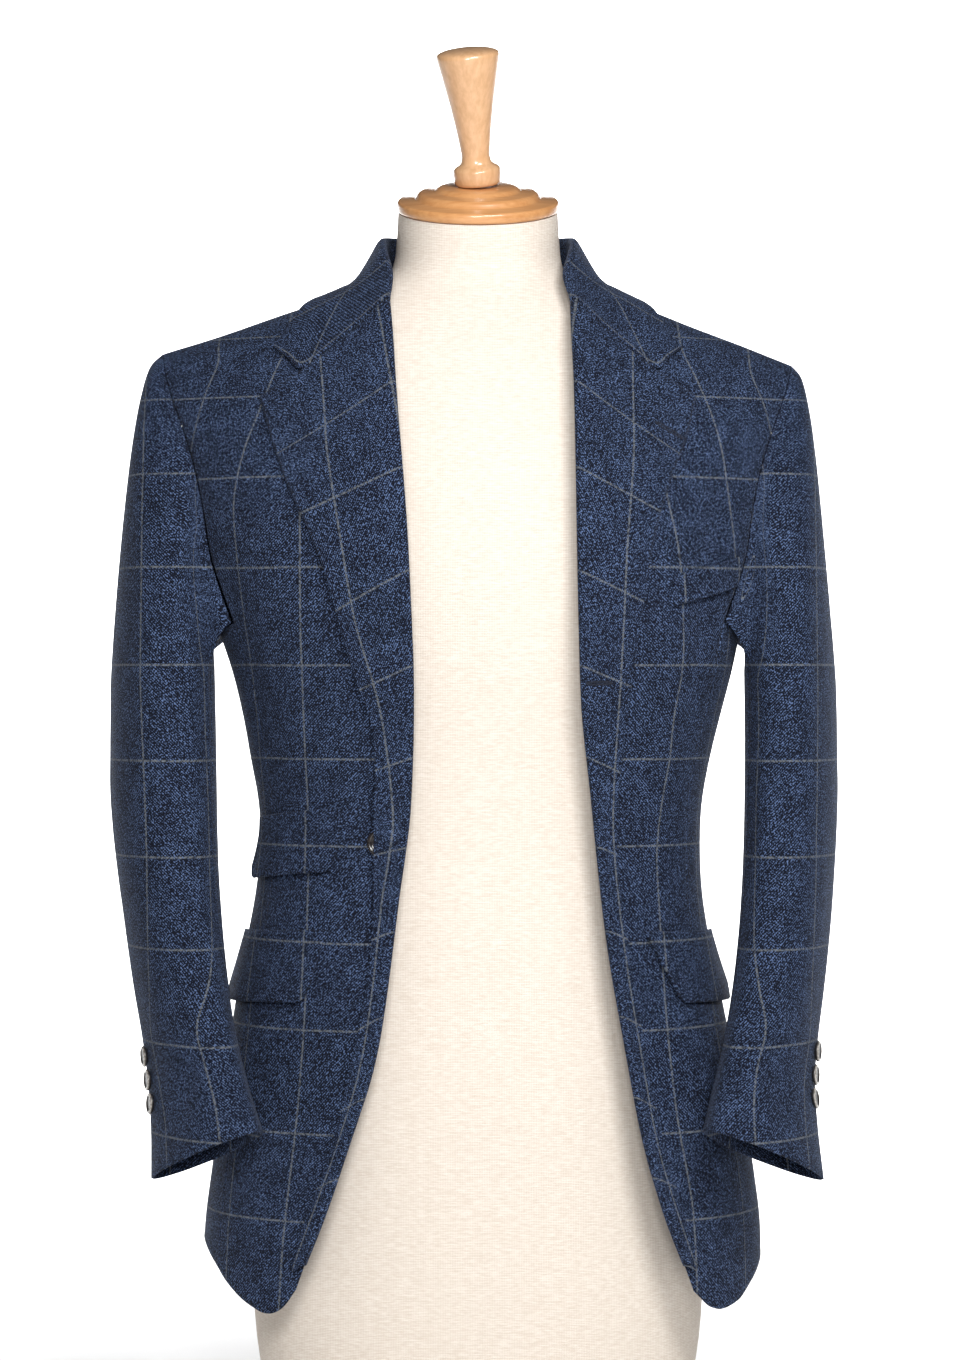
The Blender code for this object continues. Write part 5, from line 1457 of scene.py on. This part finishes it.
BUTTONS = []
angle = angle_at(RIGHT, FRONT_BUTTON_OUT, FRONT_BUTTON_HEIGHT)
normal = body_normal(RIGHT, angle, FRONT_BUTTON_HEIGHT)
seat = body(RIGHT, angle, FRONT_BUTTON_HEIGHT) + normal * FRONT_BUTTON_GAP
BUTTONS.append(
    (horn_button("front_button", seat, normal, FRONT_BUTTON_RADIUS, FRONT_BUTTON_THICK, "horn_dark"), "horn_dark")
)
for side in (RIGHT, LEFT):
    for number, height in enumerate(CUFF_BUTTON_HEIGHTS[side], 1):
        seat, normal = cuff_frame(side, height)
        node = f"cuff_button_{SIDE_NAME[side]}_{number}"
        seat = seat + normal * CUFF_BUTTON_GAP
        made = horn_button(node, seat, normal, CUFF_BUTTON_RADIUS, CUFF_BUTTON_THICK, "horn_pale", 0.3 * number)
        BUTTONS.append((made, "horn_pale"))
for made, finish in BUTTONS:
    worn(made, made.name.replace("horn_", "", 1))
print(len(BUTTONS), "buttons")

# %% [markdown]
# ## Stitches
#
# A buttonhole is a close row of stitches round a slit. Setting them one by one would be slow to change, so Geometry
# Nodes lays short round stitches square to a path: the path's length, the number of stitches and their size are
# named inputs. The same tree sews the flower hole on the lapel, the hole near its roll, the short bars of the
# closed holes on the cuffs, and fine close stitches along the edges of the lapels and the collar's ends. These edge
# stitches are pick stitching, and their dark thread also paints the thin shadow line under those edges.


# %% A stitch tree
def stitch_tree(material):
    tree = bpy.data.node_groups.new("row of stitches", "GeometryNodeTree")
    for name, kind in (
        ("Path", "NodeSocketGeometry"),
        ("Count", "NodeSocketInt"),
        ("Stitch Length", "NodeSocketFloat"),
        ("Thread Radius", "NodeSocketFloat"),
    ):
        tree.interface.new_socket(name=name, in_out="INPUT", socket_type=kind)
    tree.interface.new_socket(name="Stitches", in_out="OUTPUT", socket_type="NodeSocketGeometry")

    def add(kind, settings=None, links=None):
        node = tree.nodes.new(kind)
        for name, value in (settings or {}).items():
            setattr(node, name, value)
        for name, value in (links or {}).items():
            if isinstance(value, bpy.types.NodeSocket):
                tree.links.new(value, node.inputs[name])
            else:
                node.inputs[name].default_value = value
        return node

    given = add("NodeGroupInput")
    path = add("GeometryNodeMeshToCurve", links={"Mesh": given.outputs["Path"]})
    even = add("GeometryNodeResampleCurve", links={"Curve": path.outputs[0], "Count": given.outputs["Count"]})
    tangent = add("GeometryNodeInputTangent")
    face = add("GeometryNodeInputNamedAttribute", {"data_type": "FLOAT_VECTOR"}, {"Name": "face"})
    ways = {0: tangent.outputs[0], 1: face.outputs["Attribute"]}
    square = add("ShaderNodeVectorMath", {"operation": "CROSS_PRODUCT"}, ways)
    turn = add("FunctionNodeAlignRotationToVector", {"axis": "Z"}, {"Vector": square.outputs[0]})
    shape = add(
        "GeometryNodeMeshUVSphere",
        links={"Segments": 8, "Rings": 6, "Radius": given.outputs["Thread Radius"]},
    )
    sizes = {0: given.outputs["Stitch Length"], 1: given.outputs["Thread Radius"]}
    draw = add("ShaderNodeMath", {"operation": "DIVIDE"}, sizes)
    half = add("ShaderNodeMath", {"operation": "MULTIPLY"}, {0: draw.outputs[0], 1: 0.5})
    vary = add("FunctionNodeRandomValue", {"data_type": "FLOAT"}, {"Min": 0.88, "Max": 1.10, "Seed": 7})
    long = add("ShaderNodeMath", {"operation": "MULTIPLY"}, {0: half.outputs[0], 1: vary.outputs[1]})
    size = add("ShaderNodeCombineXYZ", links={"X": 1.0, "Y": 1.0, "Z": long.outputs[0]})
    laid = add(
        "GeometryNodeInstanceOnPoints",
        links={
            "Points": even.outputs[0],
            "Instance": shape.outputs[0],
            "Rotation": turn.outputs[0],
            "Scale": size.outputs[0],
        },
    )
    real = add("GeometryNodeRealizeInstances", links={"Geometry": laid.outputs[0]})
    done = add("GeometryNodeSetMaterial", links={"Geometry": real.outputs[0], "Material": material})
    result = add("NodeGroupOutput")
    tree.links.new(done.outputs[0], result.inputs[0])
    return tree


STITCHES = stitch_tree(navy_thread)
ABOVE_CLOTH = 0.0002  # the middle of a stitch over the cloth


def sewn(name, path, faces, count, length, radius, closed=True):
    """Stitches square to a path of points that lie on a face with these normals."""
    edges = [(i, i + 1) for i in range(len(path) - 1)] + ([(len(path) - 1, 0)] if closed else [])
    mesh = bpy.data.meshes.new(name + "_path")
    mesh.from_pydata([tuple(p) for p in path], edges, [])
    mesh.attributes.new("face", "FLOAT_VECTOR", "POINT").data.foreach_set("vector", np.ravel(faces))
    guide = bpy.data.objects.new(name + "_path", mesh)
    bpy.context.scene.collection.objects.link(guide)
    modifier = guide.modifiers.new("stitches", "NODES")
    modifier.node_group = STITCHES
    sockets = {item.name: item.identifier for item in STITCHES.interface.items_tree if item.in_out == "INPUT"}
    modifier[sockets["Count"]] = count
    modifier[sockets["Stitch Length"]] = length
    modifier[sockets["Thread Radius"]] = radius
    seen = guide.evaluated_get(bpy.context.evaluated_depsgraph_get())
    made = bpy.data.objects.new(name, bpy.data.meshes.new_from_object(seen))
    bpy.context.scene.collection.objects.link(made)
    bpy.data.objects.remove(guide)
    made.data.shade_smooth()
    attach(made, "root")
    return made


def on_cloth(piece, x, z):
    """The point of a piece straight behind a place in the front view, and its normal."""
    hit, point, normal, _ = piece.ray_cast((x, -1.0, z), (0.0, 1.0, 0.0))
    if not hit:
        raise ValueError(f"{piece.name} isn't behind {x}, {z}")
    return np.array(point), np.array(normal)


def hole_outline(piece, start, end, half, count=28):
    """A long narrow loop on the front of a piece, between two places in the front view."""
    start, end = np.array(start), np.array(end)
    way = unit(end - start)
    side = np.array([-way[1], way[0]])
    path, faces = [], []
    for turn in np.linspace(0, 2 * math.pi, count, endpoint=False):
        along = (1 + math.copysign(abs(math.cos(turn)) ** 0.5, math.cos(turn))) / 2
        spot = start + (end - start) * along + side * half * math.sin(turn)
        point, normal = on_cloth(piece, *spot)
        path.append(point + normal * ABOVE_CLOTH)
        faces.append(normal)
    return path, faces


# %% Buttonholes
lapel_left = FINISHED["lapel_left"]
HOLE_HALF, HOLE_STITCH, HOLE_THREAD = 0.0009, 0.0017, 0.00032
flower = hole_outline(lapel_left, (0.1270, 0.7210), (0.1468, 0.7098), HOLE_HALF)
sewn("flower_hole", *flower, 64, HOLE_STITCH, HOLE_THREAD)
near_roll = hole_outline(lapel_left, (0.0770, 0.5340), (0.0955, 0.5345), HOLE_HALF)
sewn("buttonhole_by_the_roll", *near_roll, 60, HOLE_STITCH, HOLE_THREAD)
CLOSED_HOLE_DROP, CLOSED_HOLE_HALF = 0.0160, 0.012  # below the last button; half its width as a share round
for side in (RIGHT, LEFT):
    under = CUFF_BUTTON_HEIGHTS[side][-1] - CLOSED_HOLE_DROP
    path, faces = [], []
    for share in np.linspace(-CLOSED_HOLE_HALF, CLOSED_HOLE_HALF, 9):
        point, normal = cuff_frame(side, under, CUFF_BUTTON_ROUND + share)
        path.append(point + normal * ABOVE_CLOTH)
        faces.append(normal)
    sewn(f"closed_cuff_hole_{SIDE_NAME[side]}", path, faces, 16, 0.0016, 0.0003, closed=False)


def pick_stitches_and_shadow_line(name, piece, places, inset):
    """Pick stitches along an edge seen from the front, moved in from it; their dark thread also paints the shadow line
    under the edge. Places the piece misses are left out.
    """
    path, faces = [], []
    for (x, _, z), (inwards, down) in zip(places, inset):
        hit, point, normal, _ = piece.ray_cast((x - inwards, -1.0, z - down), (0.0, 1.0, 0.0))
        if hit and point[1] < 0.0:
            path.append(np.array(point) + np.array(normal) * 0.0001)
            faces.append(np.array(normal))
    length = sum(np.linalg.norm(b - a) for a, b in zip(path, path[1:]))
    return sewn(name, path, faces, int(length / PRICK_STEP), PRICK_LONG, PRICK_RADIUS, closed=False)


# pick stitching along the lapels' top and turned edges and the collar's ends, whose dark thread also paints the thin
# shadow line under these edges
PRICK_STEP, PRICK_LONG, PRICK_RADIUS, EDGE_INSET = 0.0012, 0.0008, 0.00028, 0.0014
EDGE_DOWN, EDGE_PLACES, END_PLACES = 0.16, 40, 12  # how far down the turned edge, and how many places on each line
for side in (RIGHT, LEFT):
    top = TURN_BACK[side][-1].edge_height
    upper = lapel_row(side, top, NOTCH_DROP)[len(ROLL) + NOTCH_COLUMN :]
    places = [upper[0] + (upper[-1] - upper[0]) * share for share in np.linspace(0, 1, END_PLACES)]
    inset = [(0.0, EDGE_INSET + GORGE_GAP)] * (END_PLACES - 1) + [(side * EDGE_INSET, EDGE_INSET + GORGE_GAP)]
    for height in np.linspace(top, top - EDGE_DOWN, EDGE_PLACES)[1:]:
        places.append(lapel_row(side, height)[-1])
        inset.append((side * EDGE_INSET, 0.0))
    name = SIDE_NAME[side]
    pick_stitches_and_shadow_line(f"lapel_edge_{name}", FINISHED[f"lapel_{name}"], places, inset)
    notch, point = (gorge_section(side)[k] for k in (-3, -1))
    places = [notch + (point - notch) * share for share in np.linspace(0, 1, END_PLACES)]
    pick_stitches_and_shadow_line(f"collar_edge_{name}", FINISHED["collar"], places, [(0.0, -EDGE_INSET)] * END_PLACES)

# %% [markdown]
# ## The dress form
#
# The jacket rests on a limbless form. It is stretched canvas over papier mache, so it has no folds: rounded sections
# joined smoothly are all it needs. The beech cap sits on the slanted neck, with the finial on top, leaning a little.


# %% Measures of the form
FormRing = namedtuple("FormRing", "height half front back corner")
FORM = rows_of(
    FormRing,
    (0.0000, 0.150, 0.104, 0.106, 2.2),
    (0.0060, 0.156, 0.110, 0.112, 2.2),
    (0.0700, 0.165, 0.118, 0.121, 2.2),
    (0.1600, 0.166, 0.122, 0.125, 2.2),
    (0.2500, 0.160, 0.120, 0.123, 2.2),  # hip
    (0.3300, 0.148, 0.111, 0.111, 2.2),
    (0.4100, 0.139, 0.102, 0.097, 2.2),  # waist
    (0.4800, 0.147, 0.106, 0.099, 2.2),
    (0.5500, 0.166, 0.117, 0.109, 2.2),
    (0.6100, 0.178, 0.121, 0.114, 2.2),  # chest
    (0.6600, 0.185, 0.116, 0.112, 2.2),
    (0.7050, 0.194, 0.107, 0.107, 2.15),
    (0.7400, 0.200, 0.096, 0.100, 2.1),
    (0.7625, 0.199, 0.088, 0.088, 2.05),
    (0.7830, 0.182, 0.079, 0.080, 2.0),
    (0.7986, 0.150, 0.071, 0.0735, 2.0),
    (0.8116, 0.118, 0.064, 0.0690, 2.0),
    (0.8228, 0.091, 0.058, 0.0690, 2.0),
    (0.8340, 0.068, 0.054, 0.0690, 2.0),
    (0.8450, 0.0620, 0.0540, 0.0695, 2.0),
    (0.8600, 0.0602, 0.0565, 0.0645, 2.0),
)
FORM_SLOPE = 0.006  # the form's right shoulder is a little higher: the slope across, from FORM_SLOPED up
FORM_LEVEL, FORM_SLOPED = 0.620, 0.740
NECK_TOP = 0.8830  # height of the middle of the neck's slanted top
NECK_TOP_RADIUS, NECK_TOP_Y = 0.0590, -0.0010
NECK_TILT = math.radians(16)  # the neck's top faces up and a little forwards
FINIAL_LEAN = math.radians(4.5)  # towards the wearer's right

Turned = namedtuple("Turned", "along radius")
NECK_CAP = rows_of(
    Turned, (0.0000, 0.0580), (0.0012, 0.0600), (0.0066, 0.0600), (0.0082, 0.0585), (0.0092, 0.0465),
    (0.0126, 0.0450), (0.0144, 0.0425), (0.0150, 0.0320), (0.0172, 0.0300), (0.0184, 0.0270),
)
FINIAL = rows_of(
    Turned, (0.0000, 0.0150), (0.0014, 0.0170), (0.0100, 0.0178), (0.0130, 0.0168), (0.0152, 0.0124),
    (0.0172, 0.0112), (0.0220, 0.0104), (0.0400, 0.0128), (0.0600, 0.0162), (0.0800, 0.0203),
    (0.0935, 0.0231), (0.0962, 0.0233), (0.0982, 0.0218), (0.0998, 0.0165), (0.1008, 0.0085),
)


# %% Dress form
def canvas_form(sides=96, steps=4):
    around = np.linspace(0, 2 * math.pi, sides, endpoint=False)
    rings = []
    for ring in FORM:
        x = ring.half * bowed(np.sin(around), ring.corner)
        y = -np.where(np.cos(around) > 0, ring.front, ring.back) * bowed(np.cos(around), ring.corner)
        sloped = np.clip((ring.height - FORM_LEVEL) / (FORM_SLOPED - FORM_LEVEL), 0, 1)
        rings.append(np.stack([x, y, ring.height - x * FORM_SLOPE * sloped], axis=-1))
    y = -NECK_TOP_RADIUS * np.cos(around) * math.cos(NECK_TILT)
    z = NECK_TOP + y * math.tan(NECK_TILT)
    rings.append(np.stack([NECK_TOP_RADIUS * np.sin(around), NECK_TOP_Y + y, z], axis=-1))
    rings = np.array(rings)
    smooth = splined(rings[1:], np.linspace(0, len(rings) - 2, (len(rings) - 2) * steps + 1))
    rings = np.concatenate([rings[:1], smooth])
    return closed_rings("canvas_form", rings, (rings[0].mean(axis=0), rings[-1].mean(axis=0)), canvas, 50)


worn(canvas_form(), "form_torso")
up = unit(np.array([0.0, -math.sin(NECK_TILT), math.cos(NECK_TILT)]))
base = np.array([0.0, NECK_TOP_Y, NECK_TOP]) + up * SEAM
worn(lathe("beech_cap", NECK_CAP, base, up, WOOD["cap"], 96, 0.0006), "neck_cap")
lean = math.sin(FINIAL_LEAN)
foot = base + up * (NECK_CAP[-1].along + SEAM + FINIAL[0].radius * lean)
leaning = unit(up + np.array([-lean, 0.0, 0.0]))
worn(lathe("beech_finial", FINIAL, foot, leaning, WOOD["finial"], 72, 0.0012), "finial")

# %% [markdown]
# ## The cut size of every piece of cloth
#
# The script prints how large each piece of cloth was cut, and whether it hangs, is folded or is laid on. The coarse
# grids were drawn at the finished size, so the flat width and length are the longest lines of each grid as arc
# lengths, and the area is half of the wall's surface. The pane map gives no sizes: its lines follow the look, not the
# cut.


# %% Sheets
HELD = {
    "front": ("hung", ["form_torso"]),
    "side": ("hung", ["form_torso"]),
    "back": ("hung", ["form_torso"]),
    "lapel": ("folded", []),
    "collar": ("folded", []),
    "top": ("hung", []),
    "under": ("hung", []),
    "ticket": ("laid", []),
    "hip": ("laid", []),
    "breast": ("laid", []),
}


def flat_size(piece, straight):
    """Its widest row and longest column, measured on its grid, and the area of one face. On a hung piece a row is
    measured square to the piece's length, because a sleeve's head or a sloping shoulder is longer than it is wide."""
    grid = GRIDS[piece.name]
    rows = np.diff(grid, axis=1)
    if straight:
        way = unit(grid[-1].mean(axis=0) - grid[0].mean(axis=0))
        rows = rows - (rows @ way)[..., None] * way
    width = float(np.linalg.norm(rows, axis=2).sum(axis=1).max())
    length = float(np.linalg.norm(np.diff(grid, axis=0), axis=2).sum(axis=0).max())
    return round(width, 3), round(length, 3), sum(face.area for face in piece.data.polygons) / 2


for node, piece in FINISHED.items():
    kind = node.split("_")[0]
    if kind not in HELD or not piece.data.uv_layers:
        continue
    held, rests_on = HELD[kind]
    width, length, area = flat_size(piece, straight=held == "hung")
    on_side = [f"front_{node.split('_')[-1]}"] if kind in ("lapel", "ticket", "hip") else []
    rests_on + on_side
    print(f"{node}: cut {width * 1000:.0f} x {length * 1000:.0f} mm, {area * 1e4:.0f} cm2, {held}")

# %% [markdown]
# ## Studio, light and camera
#
# Catalogue pictures of menswear use broad soft light and a bright white ground. The key stands above and to one side,
# the fill a little above the lens, so the sleeves' sides fall away, and a third light whitens the ground behind the
# form. A sun or a single lamp would draw hard shadows that the pictures don't have. The camera stands
# 3.2 m away at the height of the waist, looking level, so the verticals stay upright.

# %% Studio
WHITE = {"Base Color": (0.93, 0.93, 0.93, 1.0), "Specular IOR Level": 0.1}
ground = new_material("pale floor", 0.9, WHITE)[0]
SWEEP_FROM, SWEEP_RADIUS, SWEEP_STEPS, FLOOR_DROP = 3.5, 1.2, 24, 0.0005
sweep = []
for step in range(SWEEP_STEPS + 1):
    turn = math.pi / 2 * step / SWEEP_STEPS
    sweep.append((SWEEP_FROM + SWEEP_RADIUS * math.sin(turn), SWEEP_RADIUS * (1 - math.cos(turn))))
profile = [(-5.0, 0.0), *sweep, (4.7, 2.3)]
points = [(x, y, z - FLOOR_DROP) for y, z in profile for x in (-6.0, 6.0)]
faces = [(2 * i, 2 * i + 1, 2 * i + 3, 2 * i + 2) for i in range(len(profile) - 1)]
floor = mesh_object("floor", points, faces, ground)

world = bpy.data.worlds.new("pale room")
bpy.context.scene.world = world
world.use_nodes = True
world.node_tree.nodes["Background"].inputs["Color"].default_value = (1.0, 1.0, 1.0, 1.0)
world.node_tree.nodes["Background"].inputs["Strength"].default_value = 0.07


def area_light(name, place, target, size, watts):
    data = bpy.data.lights.new(name, "AREA")
    data.shape = "RECTANGLE"
    data.size, data.size_y = size
    data.energy = watts
    lamp = bpy.data.objects.new(name, data)
    bpy.context.scene.collection.objects.link(lamp)
    lamp.location = place
    lamp.rotation_euler = (Vector(target) - Vector(place)).to_track_quat("-Z", "Y").to_euler()
    return lamp


area_light("key", (0.75, -2.1, 2.0), (0, 0, 0.60), (1.0, 0.8), 52)
area_light("fill", (-0.10, -2.7, 1.25), (0, 0, 0.70), (0.6, 0.6), 36)
area_light("ground light", (0, 1.6, 2.6), (0, 4.2, 0.6), (2.4, 0.5), 420)

camera_data = bpy.data.cameras.new("camera")
camera_data.sensor_width = 36
CAMERA_AWAY, METRES_PER_PIXEL, PIXELS_HIGH = 3.2, 0.00074, 1360
camera_data.lens = camera_data.sensor_width * CAMERA_AWAY / (METRES_PER_PIXEL * PIXELS_HIGH)
camera = bpy.data.objects.new("camera", camera_data)
camera.location = (0.0015, -CAMERA_AWAY, 0.5365)
camera.rotation_euler = (math.pi / 2, 0, 0)
bpy.context.scene.collection.objects.link(camera)
bpy.context.scene.camera = camera
bpy.context.scene.view_settings.view_transform = "Standard"
print("lens:", round(camera_data.lens, 2), "mm")
